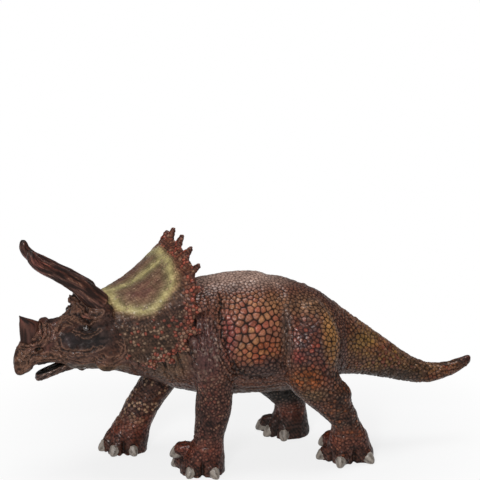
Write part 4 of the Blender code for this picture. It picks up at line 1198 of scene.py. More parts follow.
    def bead_shield(self, width: np.ndarray, height: np.ndarray, kept: np.ndarray) -> None:
        """Set the width, height and number of the beads on the shield.

        Args:
            width: The scale width at each vertex, which is changed.
            height: The scale height at each vertex, which is changed.
            kept: The share of the scales that rise at each vertex, which is changed.
        """
        on_shield = np.flatnonzero(self.places.on_nodes(SHIELD))
        shares = ShieldRing().shares_at(self.places.head[on_shield])
        ring_gap, inside = ShieldRing().ring_distance(shares)
        border = ease((shares[:, 1] - 0.80) / 0.1)
        lower = ease((np.abs(shares[:, 0]) - 0.40) / 0.12)
        own_width = np.full(len(on_shield), 1.7)
        own_width += border * 0.7 + lower * 0.2
        own_height = 0.6 + 0.5 * border + 0.2 * lower
        own_height *= 1 - 0.8 * np.exp(-((ring_gap / 2.2) ** 2))
        width[on_shield] = own_width
        height[on_shield] = own_height
        kept[on_shield] = 0.15 + 0.40 * border + 0.25 * lower
        self.shield = (on_shield, shares, ring_gap, inside)

    def scatter(self, width: np.ndarray) -> np.ndarray:
        """Choose the middles of the scales.

        Args:
            width: The scale width at each fine vertex.

        Returns:
            The numbers of the vertices that are middles.
        """
        points = self.fine.points
        sample = np.random.default_rng(11).permutation(len(points))[::2]
        tree = point_tree(points[sample])
        taken = bytearray(len(sample))
        middles = []
        for index, number in enumerate(sample):
            if taken[index]:
                continue
            middles.append(number)
            for _, other, _ in tree.find_range(points[number], width[number] * self.scale_spacing):
                taken[other] = 1
        return np.array(middles)

    def nearest_two(self, seeds: np.ndarray) -> tuple[np.ndarray, np.ndarray, np.ndarray]:
        """Distances from each vertex to the two nearest scale middles.

        Args:
            seeds: The numbers of the vertices that are middles.

        Returns:
            The nearer distance, the farther one, and which middle is nearest.
        """
        tree = point_tree(self.fine.points[seeds])
        first = np.empty(len(self.fine.points))
        second = np.empty(len(self.fine.points))
        owner = np.empty(len(self.fine.points), int)
        for index, point in enumerate(self.fine.points):
            near, far = tree.find_n(point, 2)
            first[index] = near[2]
            second[index] = far[2]
            owner[index] = near[1]
        return first, second, owner

    def spray(self) -> None:
        """Lay the ground and crest paints on the skin."""
        count = len(self.fine.points)
        self.coat = PaintCoat(np.zeros((count, 3)), np.zeros((count, 3)))
        blotch = mottle(self.places.body, 9, 3)
        for stroke in strokes():
            weight = stroke.weight(self.places) * stroke.strength
            if stroke.rough_edge:
                weight *= 1 - stroke.rough_edge + stroke.rough_edge * ease((blotch - 0.35) * 3)
            low, high = stroke.pick
            if high - low < 1:
                weight *= (self.hue >= low) * (self.hue <= high) * self.raised
            self.coat.lay(weight, stroke.ground, stroke.crest)
        self.spray_shield()
        self.coat.enrich(0.12, 0.002)

    def spray_shield(self) -> None:
        """Paint the shield's field, ring, border beads and spikes."""
        chosen, shares, gap, inside = self.shield
        head = self.places.head[chosen]
        side, run = np.abs(shares[:, 0]), shares[:, 1]
        blotch = mottle(head, 7, 21)
        coat = PaintCoat.plain(len(chosen), (32, 20, 17), (78, 50, 40))
        coat.lay(ease((0.52 - side) / 0.25), (54, 36, 28), (112, 84, 66))
        coat.lay(inside, (88, 66, 52), (128, 102, 84))
        coat.lay(inside * ease((gap - 4) / 8) * blotch * 0.8, (78, 48, 44), (116, 80, 72))
        coat.lay(inside * np.exp(-((gap / 5.5) ** 2)) * 0.5, (88, 88, 62), (128, 124, 92))
        halo = (1 - inside) * np.exp(-((gap / 5.0) ** 2)) * ease((0.55 - side) / 0.1)
        coat.lay(0.6 * halo, (96, 68, 52), (168, 132, 104))
        ring = np.exp(-((gap / (2.1 + 1.1 * blotch)) ** 2)) * ease((0.9 - run) / 0.06)
        coat.lay(0.85 * ring, (154, 142, 100), (188, 176, 132))
        border = ease((run - 0.82) / 0.08)
        coat.lay(border, (48, 26, 20), (120, 76, 58))
        lower = ease((side - 0.44) / 0.12) * (1 - border)
        coat.lay(lower, (38, 27, 20), (86, 62, 48))
        hue, raised = self.hue[chosen], self.raised[chosen]
        red = (border * (hue > 0.35) + lower * (hue > 0.66)) * raised
        coat.lay(0.75 * red, (54, 26, 20), (150, 72, 58))
        cream = (lower + 0.5 * border + inside) * (hue < 0.3) * raised
        coat.lay(0.6 * cream, (64, 48, 38), (158, 132, 110))
        spike = ease((head[:, 0] + 41.5) / 2.0) * ease((run - 0.9) / 0.05)
        coat.lay(spike, (36, 20, 17), (122, 80, 68))
        self.coat.ground[chosen] = coat.ground
        self.coat.crest[chosen] = coat.crest

    def part(self, finishes: dict[str, bpy.types.Material]) -> None:
        """Make one piece for each solid from the skin.

        Args:
            finishes: The material of each node by its name.
        """
        normals = self.fine.normals()
        self.fine.points = self.frame.outward(self.fine.points)
        for number, name in enumerate(SKIN_NODES):
            quads = self.fine.quads[self.face_node == number]
            used, local = np.unique(quads, return_inverse=True)
            mesh = Surface(self.fine.points[used], local.reshape(-1, 4)).to_mesh(name + "_skin")
            add_paint(
                mesh,
                PaintCoat(self.coat.ground[used], self.coat.crest[used]),
                relief=self.relief[used],
                tone=self.tone[used],
                crease=self.crease[used],
                edge=self.edge[used],
            )
            mesh.normals_split_custom_set_from_vertices(normals[used].astype(np.float32))
            skin = link_piece(mesh, finishes[name])
            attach(skin, "figure")
            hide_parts(name)
            log.info("%s: %d faces", skin.name, len(quads))


def add_value(mesh: bpy.types.Mesh, name: str, values: np.ndarray) -> None:
    """Give each vertex of a mesh a number that the shader reads by name."""
    layer = mesh.attributes.new(name, "FLOAT", "POINT")
    layer.data.foreach_set("value", values.astype(np.float32))


def add_paint(mesh: bpy.types.Mesh, coat: PaintCoat, **values: np.ndarray) -> None:
    """Give each vertex of a mesh what the painted finishes read.

    Args:
        mesh: The mesh.
        coat: Its paints.
        **values: The relief, tone, crease and edge at each vertex, by name.
    """
    for name, paint in (("ground", coat.ground), ("crest", coat.crest)):
        layer = mesh.color_attributes.new(name, "FLOAT_COLOR", "POINT")
        rgba = np.ones((len(paint), 4), np.float32)
        rgba[:, :3] = paint
        layer.data.foreach_set("color", rgba.ravel())
    for name, numbers in values.items():
        add_value(mesh, name, numbers)


class ShaderGroup:
    """A shader node group with named inputs and outputs."""

    def __init__(self, name: str, inputs: dict[str, str], outputs: dict[str, str]) -> None:
        """Start the group.

        Args:
            name: The group's name.
            inputs: Socket types by name.
            outputs: Socket types by name.
        """
        self.tree = bpy.data.node_groups.new(name, "ShaderNodeTree")
        for label, kind in inputs.items():
            self.tree.interface.new_socket(label, in_out="INPUT", socket_type=kind)
        for label, kind in outputs.items():
            self.tree.interface.new_socket(label, in_out="OUTPUT", socket_type=kind)
        self.start = self.tree.nodes.new("NodeGroupInput")
        self.end = self.tree.nodes.new("NodeGroupOutput")

    def give(self, label: str, socket: bpy.types.NodeSocket) -> None:
        """Link a socket to one of the group's outputs."""
        self.tree.links.new(socket, self.end.inputs[label])


def link_or_set(tree: bpy.types.NodeTree, target: bpy.types.NodeSocket, value: object) -> None:
    """Link a socket to another or set its value.

    Args:
        tree: The node tree.
        target: The input socket.
        value: A socket, a number or a colour.
    """
    if isinstance(value, bpy.types.NodeSocket):
        tree.links.new(value, target)
    else:
        target.default_value = value


def noise(tree: bpy.types.NodeTree, scale: float, detail: float, rough: float) -> bpy.types.NodeSocket:
    """Noise over the object's own coordinates, from 0 to 1."""
    place = tree.nodes.new("ShaderNodeTexCoord")
    node = tree.nodes.new("ShaderNodeTexNoise")
    tree.links.new(place.outputs["Object"], node.inputs["Vector"])
    node.inputs["Scale"].default_value = scale
    node.inputs["Detail"].default_value = detail
    node.inputs["Roughness"].default_value = rough
    return node.outputs["Fac"]


def remap(
    tree: bpy.types.NodeTree, value: object, low: float, high: float, to_low: float, to_high: float
) -> bpy.types.NodeSocket:
    """A value moved from one range to another and clipped there."""
    node = tree.nodes.new("ShaderNodeMapRange")
    node.clamp = True
    link_or_set(tree, node.inputs["Value"], value)
    node.inputs["From Min"].default_value = low
    node.inputs["From Max"].default_value = high
    node.inputs["To Min"].default_value = to_low
    node.inputs["To Max"].default_value = to_high
    return node.outputs["Result"]


def compute(
    tree: bpy.types.NodeTree, operation: str, first: object, second: object
) -> bpy.types.NodeSocket:
    """The result of a sum on two values, clipped to 0 and 1."""
    node = tree.nodes.new("ShaderNodeMath")
    node.operation = operation
    node.use_clamp = True
    link_or_set(tree, node.inputs[0], first)
    link_or_set(tree, node.inputs[1], second)
    return node.outputs[0]


def blend_colours(
    tree: bpy.types.NodeTree, share: object, first: object, second: object, kind: str = "MIX"
) -> bpy.types.NodeSocket:
    """A blend of two colours.

    Args:
        tree: The node tree.
        share: How much of the second colour shows.
        first: A socket or colour.
        second: A socket or colour.
        kind: The way of blending.

    Returns:
        The blended colour's socket.
    """
    node = tree.nodes.new("ShaderNodeMix")
    node.data_type = "RGBA"
    node.blend_type = kind
    link_or_set(tree, node.inputs[0], share)
    link_or_set(tree, node.inputs[6], first)
    link_or_set(tree, node.inputs[7], second)
    return node.outputs[2]


def make_paint_layers() -> bpy.types.NodeTree:
    """The group that washes paint into grooves, brushes it on scales, and paints shade and highlights.
    """
    colour, number = "NodeSocketColor", "NodeSocketFloat"
    inputs = {"Ground": colour, "Crest": colour}
    inputs |= {"Relief": number, "Tone": number, "Crease": number, "Edge": number}
    group = ShaderGroup("paint_layers", inputs, {"Colour": colour, "Gloss": number})
    tree = group.tree
    given = group.start.outputs
    speckle = noise(tree, 900, 4, 0.65)
    blotch = noise(tree, 110, 4, 0.6)
    raised = remap(tree, given["Relief"], 0.22, 0.84, 0, 1)
    cover = compute(tree, "MULTIPLY", raised, remap(tree, speckle, 0.3, 0.65, 0.62, 1.0))
    cover = compute(tree, "MULTIPLY", cover, remap(tree, blotch, 0.32, 0.55, 0.55, 1.0))
    painted = blend_colours(tree, cover, given["Ground"], given["Crest"])
    shade = remap(tree, given["Tone"], 0, 1, 0.62, 1.0)
    toned = blend_colours(tree, 1.0, painted, shade, "MULTIPLY")
    # Painted shade: near-black paint in the folds, the toe gaps and the mouth, partly a dark wash.
    deep = remap(tree, given["Crease"], 0.2, 0.9, 0, 0.8)
    dark = blend_colours(tree, deep, toned, Paint(16, 10, 8).rgba())
    # Pale paint on fold lips, horn streak tops and the jaw's upward faces: rubbed paint, and on the
    # fold lips and jaw also painted highlight.
    rub_and_highlight_share = compute(tree, "MULTIPLY", given["Edge"], remap(tree, speckle, 0.38, 0.60, 0.06, 0.46))
    lipped = blend_colours(tree, rub_and_highlight_share, dark, Paint(148, 108, 86).rgba())
    # Pale paint on the scale peaks: partly dry-brush paint, partly painted highlight.
    peak = remap(tree, given["Relief"], 0.86, 1.0, 0, 0.30)
    brushed = compute(tree, "MULTIPLY", peak, remap(tree, speckle, 0.5, 0.62, 0, 1))
    light = blend_colours(tree, brushed, lipped, Paint(190, 152, 122).rgba())
    group.give("Colour", light)
    group.give("Gloss", compute(tree, "MULTIPLY", raised, remap(tree, blotch, 0.3, 0.7, 0.5, 1)))
    return tree


def make_cast_grain() -> bpy.types.NodeTree:
    """The group that gives cast plastic its fine pits and pores."""
    number = "NodeSocketFloat"
    group = ShaderGroup("cast_grain", {"Pits": number}, {"Height": number, "Pores": number})
    tree = group.tree
    fine = noise(tree, 1600, 5, 0.6)
    wide = noise(tree, 420, 3, 0.5)
    mixed = tree.nodes.new("ShaderNodeMix")
    tree.links.new(group.start.outputs["Pits"], mixed.inputs[0])
    tree.links.new(wide, mixed.inputs[2])
    tree.links.new(fine, mixed.inputs[3])
    group.give("Height", mixed.outputs[0])
    group.give("Pores", remap(tree, fine, 0.3, 0.7, 0, 1))
    return tree


def new_material(name: str) -> tuple[bpy.types.Material, bpy.types.NodeTree, bpy.types.Node]:
    """A new material, its node tree and its shader."""
    material = bpy.data.materials.new(name)
    material.use_nodes = True
    tree = material.node_tree
    return material, tree, tree.nodes["Principled BSDF"]


def add_grain(
    tree: bpy.types.NodeTree,
    shader: bpy.types.Node,
    grain: bpy.types.NodeTree,
    pits: float,
    strength: float,
    depth: float,
) -> None:
    """Give a shader the bump of cast plastic.

    Args:
        tree: The material's node tree.
        shader: Its shader.
        grain: The cast grain group.
        pits: How much of the grain is fine.
        strength: The bump's strength.
        depth: The bump's depth in metres.
    """
    fine = tree.nodes.new("ShaderNodeGroup")
    fine.node_tree = grain
    fine.inputs["Pits"].default_value = pits
    bump = tree.nodes.new("ShaderNodeBump")
    bump.inputs["Strength"].default_value = strength
    bump.inputs["Distance"].default_value = depth
    tree.links.new(fine.outputs["Height"], bump.inputs["Height"])
    tree.links.new(bump.outputs["Normal"], shader.inputs["Normal"])


@dataclass(frozen=True)
class SkinFinish:
    """Painted cast plastic: washed grooves, dry-brush scales, painted shade and painted highlights."""

    name: str
    roughness_low: float = 0.36
    roughness_high: float = 0.62
    bump: float = 0.22
    pits: float = 0.5
    specular: float = 0.16
    coat: float = 0.4
    coat_roughness: float = 0.24

    def material(self, layers: bpy.types.NodeTree, grain: bpy.types.NodeTree) -> bpy.types.Material:
        """Make the material.

        Args:
            layers: The paint layers group.
            grain: The cast grain group.

        Returns:
            The material.
        """
        material, tree, shader = new_material(self.name)
        shader.inputs["Specular IOR Level"].default_value = self.specular
        shader.inputs["Coat Roughness"].default_value = self.coat_roughness
        paint = tree.nodes.new("ShaderNodeGroup")
        paint.node_tree = layers
        for label in ("Ground", "Crest", "Relief", "Tone", "Crease", "Edge"):
            reader = tree.nodes.new("ShaderNodeAttribute")
            reader.attribute_name = label.lower()
            output = "Color" if label in ("Ground", "Crest") else "Fac"
            tree.links.new(reader.outputs[output], paint.inputs[label])
        tree.links.new(paint.outputs["Colour"], shader.inputs["Base Color"])
        gloss = remap(tree, paint.outputs["Gloss"], 0, 1, self.roughness_high, self.roughness_low)
        tree.links.new(gloss, shader.inputs["Roughness"])
        sheen = remap(tree, paint.outputs["Gloss"], 0.1, 1, 0.0, self.coat)
        tree.links.new(sheen, shader.inputs["Coat Weight"])
        add_grain(tree, shader, grain, self.pits, self.bump, 0.3 * MM)
        return material


def wound_lines(rows: int, angles: np.ndarray, radius: float, length: float) -> np.ndarray:
    """Places on a straight tube, for streaks that run along a horn.

    Args:
        rows: The number of rings.
        angles: The turn of each place on a ring.
        radius: The tube's radius.
        length: The tube's length.

    Returns:
        The places, ring by ring.
    """
    ring = np.stack([np.cos(angles), np.sin(angles)], axis=1) * radius
    run = np.linspace(0, 1, rows) * length
    return np.hstack([np.tile(ring, (rows, 1)), np.repeat(run, len(angles))[:, None]])


@dataclass
class BrowHorn:
    """A long brow horn with fine streaks along it and folds round its root."""

    frame: FigureFrame
    side: int
    fullness: float = 1.0
    lift: float = 0.0
    stretch: float = 1.0
    start: Place = (-94.8, 12.25, 111.7)
    reach: float = 41.8
    rise: float = 37.2
    radius: float = 6.2
    streak_depth: float = 0.09
    ring_depth: float = 0.025
    sides: int = 72
    steps: int = 16
    shares: tuple[tuple[float, float, float], ...] = (
        (-0.06, -0.06, 0.10), (-0.05, -0.05, 0.50), (-0.02, -0.02, 0.84),
        (0.04, 0.04, 1.04), (0.19, 0.18, 0.96), (0.31, 0.30, 0.86),
        (0.44, 0.40, 0.79), (0.58, 0.51, 0.73), (0.70, 0.60, 0.68),
        (0.82, 0.68, 0.63), (0.91, 0.76, 0.58), (0.97, 0.85, 0.53),
        (0.99, 0.94, 0.42), (1.00, 0.99, 0.24), (1.00, 1.00, 0.05),
    )

    def build(self, finish: bpy.types.Material) -> None:
        """Model the horn and set it on its brow.

        Args:
            finish: The horn's material.
        """
        rows = smooth_line(np.array(self.shares), self.steps)
        run = np.maximum(rows[:, 0], 0)
        reach = self.reach * (1 + (self.stretch - 1) * run)
        rise = self.rise * (1 + (self.stretch - 1) * run)
        middle = np.sin(np.pi * np.clip(rows[:, 0], 0, 1)) * self.lift
        centres = np.stack(
            [
                self.start[0] - reach * rows[:, 0] + middle * 0.6,
                np.full(len(rows), self.side * self.start[1]),
                self.start[2] + rise * rows[:, 1] + middle * 0.8,
            ],
            axis=1,
        )
        along = np.gradient(centres, axis=0)
        along /= np.linalg.norm(along, axis=1)[:, None]
        across = np.tile([0.0, 1.0, 0.0], (len(rows), 1))
        up = np.cross(along, across)
        angles = np.linspace(0, 2 * math.pi, self.sides, endpoint=False)
        length = np.linspace(0, 1, len(rows))
        lines = wound_lines(len(rows), angles, 9, 24)
        streak = mottle(lines, 5.0, 81 + self.side) * 0.5 + mottle(lines, 2.2, 87 + self.side) * 0.5
        streak = streak.reshape(len(rows), self.sides) - 0.5
        rings = np.stack([np.sin(share * 60 + 3 * np.sin(angles * 2 + 5 * share)) for share in length])
        root = np.clip(1 - length * 2.6, 0, 1)[:, None]
        swell = (self.radius * rows[:, 2] * self.fullness)[:, None]
        streaked = 1 + self.streak_depth * streak * (1 - 0.5 * root)
        radii = swell * (streaked + self.ring_depth * rings * root)
        points = (
            centres[:, None, :]
            + radii[:, :, None] * np.cos(angles)[None, :, None] * across[:, None, :]
            + radii[:, :, None] * np.sin(angles)[None, :, None] * up[:, None, :]
        )
        relief = ease(0.45 + 0.9 * streak + 0.12 * rings * root)
        tone = mottle(lines, 11.0, 85 + self.side).reshape(len(rows), self.sides)
        name = ("left" if self.side < 0 else "right") + "_brow_horn"
        make_horn_piece(self.frame, name, points, relief, tone, finish)


def make_horn_piece(
    frame: FigureFrame,
    node: str,
    points: np.ndarray,
    relief: np.ndarray,
    tone: np.ndarray,
    finish: bpy.types.Material,
) -> None:
    """Make a horn from a grid of places that runs from its root to its tip.

    Args:
        frame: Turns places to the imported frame.
        node: The solid that it stands for.
        points: Places in the head's frame, by row along the horn and column round it.
        relief: The height of the streaks at each place.
        tone: The shade at each place.
        finish: The horn's material.
    """
    rows, sides, _ = points.shape
    flat = turn_head(points.reshape(-1, 3), HEAD_TURN)
    index = np.arange(rows * sides).reshape(rows, sides)
    after = np.roll(index, -1, axis=1)
    quads = np.stack([index[:-1], after[:-1], after[1:], index[1:]], axis=-1).reshape(-1, 4)
    work = bmesh.new()
    vertices = [work.verts.new(place) for place in frame.outward(flat)]
    for quad in quads:
        work.faces.new([vertices[corner] for corner in quad])
    work.faces.new([vertices[corner] for corner in index[0][::-1]])
    work.faces.new([vertices[corner] for corner in index[-1]])
    bmesh.ops.recalc_face_normals(work, faces=work.faces)
    mesh = mesh_from(work, node + "_form")
    mesh.shade_smooth()
    height = np.repeat(np.linspace(0, 1, rows), sides)
    shade, streak = tone.ravel(), relief.ravel()
    tip = ease((height - 0.86) * 9)
    red = ease((height - 0.40) * 4) * ease((0.92 - height) * 6) * ease((shade - 0.4) * 4)
    dark, pale = (34, 19, 15), (92, 54, 42)
    coat = PaintCoat.plain(rows * sides, dark, pale)
    coat.lay(0.8 * red, dark, (128, 68, 58))
    coat.lay(tip, (20, 14, 11), (62, 44, 35))
    worn = ease((streak - 0.8) * 6) * (1 - tip)
    add_paint(mesh, coat, relief=streak, tone=shade, crease=np.zeros(rows * sides), edge=worn)
    horn = link_piece(mesh, finish)
    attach(horn, "figure")
    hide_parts(node)
    log.info("%s: %d faces", horn.name, len(quads))


@dataclass
class NoseHorn:
    """The short nose horn, with a blade edge in front."""

    frame: FigureFrame
    start: Place = (-135.2, 0.0, 86.2)
    length: float = 13.0
    width: float = 7.8
    height: float = 18.9
    wave_depth: float = 0.08
    sides: int = 64
    steps: int = 12
    shares: tuple[tuple[float, float, float, float], ...] = (
        (0.00, 0.00, 0.54, 0.52), (0.37, 0.04, 0.52, 0.46), (0.66, 0.08, 0.50, 0.36),
        (0.78, 0.20, 0.38, 0.27), (0.90, 0.42, 0.16, 0.16), (0.98, 0.56, 0.04, 0.05),
        (1.00, 0.58, 0.01, 0.01),
    )

    def build(self, finish: bpy.types.Material) -> None:
        """Model the horn and set it on the snout.

        Args:
            finish: The horn's material.
        """
        rows = smooth_line(np.array(self.shares), self.steps)
        angles = np.linspace(0, 2 * math.pi, self.sides, endpoint=False)
        lines = wound_lines(len(rows), angles, 6, 6)
        wave = mottle(lines, 4.5, 91).reshape(len(rows), self.sides) - 0.5
        bulge = 1 + self.wave_depth * wave
        pinch = 1 - 0.35 * np.clip(-np.cos(angles), 0, 1) ** 2
        rise, lean, depth, breadth = (column[:, None] for column in rows.T)
        x = self.start[0] - self.length * lean + self.length * depth * np.cos(angles) * bulge
        y = self.width * breadth * np.sin(angles) * bulge * pinch
        z = np.repeat(self.start[2] + self.height * rise, self.sides, axis=1)
        relief = ease(0.45 + 0.5 * wave)
        tone = mottle(lines, 9.0, 93).reshape(len(rows), self.sides)
        make_horn_piece(self.frame, "nose_horn", np.stack([x, y, z], axis=-1), relief, tone, finish)


@dataclass(frozen=True)
class Foot:
    """Where the toes of a foot are, as turns from straight ahead and reaches from its middle."""

    name: str
    side: int
    half_depth: float
    half_width: float
    toes: tuple[Place, ...]
    nail_height: float = 3.2
    nail_lift: float = 9.5
    knuckle_back: float = 3.6
    knuckle_rise: float = 2.4
    ankle_height: float = 17.0
    toe_girth: float = 4.9
    toe_swell: float = 1.7
    nail_bed: float = 2.4
    nail_reach: float = 4.4
    widest_gap: float = 22.0
    gap_width: float = 1.3

    @property
    def mount(self) -> str:
        """The name of the mount under the sole."""
        return self.name + "_sole"

    def toe_places(self, centre: np.ndarray) -> list[tuple[np.ndarray, np.ndarray]]:
        """The middle of each nail, and the level direction that it points in.

        Args:
            centre: The middle of the sole in figure millimetres.

        Returns:
            A place and a direction for each toe.
        """
        places = []
        for turn, reach, lift in self.toes:
            angle = math.pi * turn
            away = np.array([-math.cos(angle), self.side * math.sin(angle), 0.0])
            place = centre + away * reach * np.array([self.half_depth, self.half_width, 0])
            place[2] = self.nail_height + self.nail_lift * lift
            places.append((place, away))
        return places

    def shape(self, points: np.ndarray, centre: np.ndarray) -> tuple[np.ndarray, np.ndarray]:
        """How the skin swells at the toes, and the gaps between them.

        Args:
            points: Places in figure millimetres.
            centre: The middle of the sole.

        Returns:
            The swelling in millimetres, and 0 to 1 in the gaps.
        """
        swell = np.zeros(len(points))
        gap = np.zeros(len(points))
        sunk = np.zeros(len(points))
        places = self.toe_places(centre)
        for place, away in places:
            knuckle = place - away * self.knuckle_back + np.array([0, 0, self.knuckle_rise])
            ankle = 0.45 * place + 0.55 * centre
            ankle += np.array([0, 0, self.ankle_height - 0.45 * place[2]])
            run = ankle - knuckle
            share = np.clip((points - knuckle) @ run / (run @ run), 0, 1)
            distance = np.linalg.norm(points - knuckle - share[:, None] * run, axis=1)
            girth = self.toe_girth - 1.4 * share
            edge = ease((1.15 - distance / girth) / 0.55)
            swell = np.maximum(swell, (self.toe_swell - share) * edge)
            front = place + away * 2.6 - np.array([0, 0, 1.0])
            distance = np.linalg.norm((points - front) / self.nail_reach, axis=1)
            sunk = np.maximum(sunk, self.nail_bed * ease((1 - distance) / 0.5))
        low = [(place, away) for place, away in places if place[2] < 6]
        low.sort(key=lambda item: math.atan2(item[1][1] * self.side, -item[1][0]))
        for (first, _), (second, _) in zip(low, low[1:]):
            if np.linalg.norm(first - second) > self.widest_gap:
                continue
            middle = (first + second) / 2
            inward = centre - middle
            inward[2] = 0
            reach = np.linalg.norm(inward)
            inward /= reach
            offset = points - middle
            run = offset @ inward
            sideways = np.linalg.norm(offset[:, :2] - run[:, None] * inward[:2], axis=1)
            near = ease((14.0 - points[:, 2]) / 7) * ease((reach * 0.7 - run) / 4)
            narrow = np.exp(-((sideways / self.gap_width) ** 2))
            gap = np.maximum(gap, narrow * near * (run > -8))
        return swell - sunk, gap


FEET = (
    Foot(
        "front_left", -1, 13.8, 12.2,
        ((-0.24, 1.28, 0), (0.26, 0.92, 0), (0.60, 1.08, 0), (-0.13, 1.15, 0.9)),
    ),
    Foot(
        "front_right", 1, 13.8, 12.5,
        ((-0.57, 0.87, 0), (-0.28, 0.90, 0), (0.01, 0.87, 0), (0.34, 0.90, 0)),
    ),
    Foot(
        "hind_left", -1, 14.8, 9.9,
        ((-0.09, 1.10, 0), (0.36, 1.26, 0), (0.70, 1.12, 0), (-0.18, 1.10, 0.8)),
    ),
    Foot(
        "hind_right", 1, 12.8, 11.3,
        ((0.20, 1.38, 0), (-0.05, 0.95, 0), (-0.37, 0.95, 0), (0.52, 1.00, 0)),
    ),
)


def globe_turns(rings: int, sides: int) -> list[tuple[float, float]]:
    """The turn from the pole, and the turn round it, of each vertex of a globe."""
    return [
        (math.pi * ring / rings, 2 * math.pi * column / sides)
        for ring in range(rings + 1)
        for column in range(sides)
    ]


def add_globe(work: bmesh.types.BMesh, rings: int, sides: int, spot: Callable[..., np.ndarray]) -> None:
    """Add a closed form with rings from pole to pole.

    Args:
        work: The mesh that it goes in.
        rings: The number of steps from pole to pole.
        sides: The number of vertices on a ring.
        spot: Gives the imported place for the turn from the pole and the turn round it.
    """
    corners = [work.verts.new(spot(polar, angle)) for polar, angle in globe_turns(rings, sides)]
    for ring in range(rings):
        low, high = corners[ring * sides :][:sides], corners[(ring + 1) * sides :][:sides]
        for column in range(sides):
            after = (column + 1) % sides
            work.faces.new((low[column], low[after], high[after], high[column]))


@dataclass
class Nails:
    """Blunt, worn nails on the toes of one foot."""

    frame: FigureFrame
    foot: Foot
    centre: np.ndarray
    length: float = 10.2
    width: float = 6.6
    height: float = 8.2
    pitch: float = math.radians(34)
    taper: float = 0.22
    flatness: float = 0.42
    rings: int = 18
    sides: int = 28

    def build(self, finish: bpy.types.Material) -> None:
        """Model the nails of the foot as one piece.

        Args:
            finish: The nails' material.
        """
        work = bmesh.new()
        tones = []
        for number, (place, away) in enumerate(self.foot.toe_places(self.centre)):
            heading = math.atan2(away[1], away[0])
            add_globe(work, self.rings, self.sides, partial(self.spot, place, heading, number))
            for polar, angle in globe_turns(self.rings, self.sides):
                tones.append(0.5 + 0.5 * math.sin(angle * 5 + number * 2 + math.cos(polar) * 3))
        bmesh.ops.recalc_face_normals(work, faces=work.faces)
        mesh = mesh_from(work, self.foot.name + "_nails")
        mesh.shade_smooth()
        add_value(mesh, "streak", np.array(tones))
        nails = link_piece(mesh, finish)
        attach(nails, "figure")
        log.info("%s: %d nails", nails.name, len(self.foot.toes))

    def spot(
        self, place: np.ndarray, heading: float, number: int, polar: float, angle: float
    ) -> np.ndarray:
        """A place on a nail.

        Args:
            place: The nail's middle in figure millimetres.
            heading: The way that it points, about the upright.
            number: Its number on the foot.
            polar: The turn from its tip.
            angle: The turn round it.

        Returns:
            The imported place.
        """
        forward = math.cos(polar)
        ahead = max(forward, 0)
        girth = math.sin(polar) ** 0.8
        ridge = 0.03 * math.sin(angle * 9 + number) + 0.02 * math.sin(forward * 9 + number)
        run = forward * self.length / 2
        narrow = girth * (1 - self.taper * ahead)
        across = narrow * math.cos(angle) * self.width / 2 * (1 + ridge)
        flat = 1 - self.flatness * ahead
        rise = girth * math.sin(angle) * self.height / 2 * (1 + ridge) * flat
        x = run * math.cos(self.pitch) + rise * math.sin(self.pitch)
        z = -run * math.sin(self.pitch) + rise * math.cos(self.pitch)
        cos, sin = math.cos(heading), math.sin(heading)
        spot = place + np.array([x * cos - across * sin, x * sin + across * cos, z])
        spot[2] = max(spot[2], 0.02)
        return self.frame.outward(spot)


@dataclass(frozen=True)
class NailFinish:
    """Pale grey horn with streaks and worn, dirty edges."""

    name: str = "pale_nail"
    pale: Paint = Paint(140, 130, 120)
    dark: Paint = Paint(62, 52, 45)

    def material(self, grain: bpy.types.NodeTree) -> bpy.types.Material:
        """Make the material with the cast grain group."""
        material, tree, shader = new_material(self.name)
        reader = tree.nodes.new("ShaderNodeAttribute")
        reader.attribute_name = "streak"
        smear = noise(tree, 500, 4, 0.6)
        share = compute(tree, "MULTIPLY", reader.outputs["Fac"], remap(tree, smear, 0.35, 0.65, 0.2, 1))
        colour = blend_colours(tree, share, self.pale.rgba(), self.dark.rgba())
        tree.links.new(colour, shader.inputs["Base Color"])
        tree.links.new(remap(tree, smear, 0.3, 0.7, 0.32, 0.55), shader.inputs["Roughness"])
        add_grain(tree, shader, grain, 0.4, 0.2, 0.2 * MM)
        return material


@dataclass
class Eyes:
    """Two dark eyes set between the lids."""

    frame: FigureFrame
    centre: Place = (-105.6, 16.9, 98.9)
    radius: float = 2.5
    bulge: float = 0.10
    rings: int = 20
    sides: int = 32

    def build(self, finish: bpy.types.Material) -> None:
        """Model both eyes as one piece.

        Args:
            finish: The eyes' material.
        """
        work = bmesh.new()
        for side in (-1, 1):
            add_globe(work, self.rings, self.sides, partial(self.spot, side))
        bmesh.ops.remove_doubles(work, verts=work.verts, dist=0.001 * MM)
        bmesh.ops.recalc_face_normals(work, faces=work.faces)
        mesh = mesh_from(work, "eyes")
        mesh.shade_smooth()
        eyes = link_piece(mesh, finish)
        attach(eyes, "figure")
        log.info("eyes set")

    def spot(self, side: int, polar: float, angle: float) -> np.ndarray:
        """A packed place on the eye of one side, for the turns from its front and round it."""
        middle = np.array([self.centre[0], side * self.centre[1], self.centre[2]])
        bulge = 1 + self.bulge * max(math.cos(polar), 0) ** 6
        x = math.sin(polar) * math.cos(angle)
        z = math.sin(polar) * math.sin(angle) * 0.9
        offset = np.array([x, side * math.cos(polar) * bulge, z])
        return self.frame.outward(turn_head((middle + offset * self.radius)[None, :], HEAD_TURN)[0])


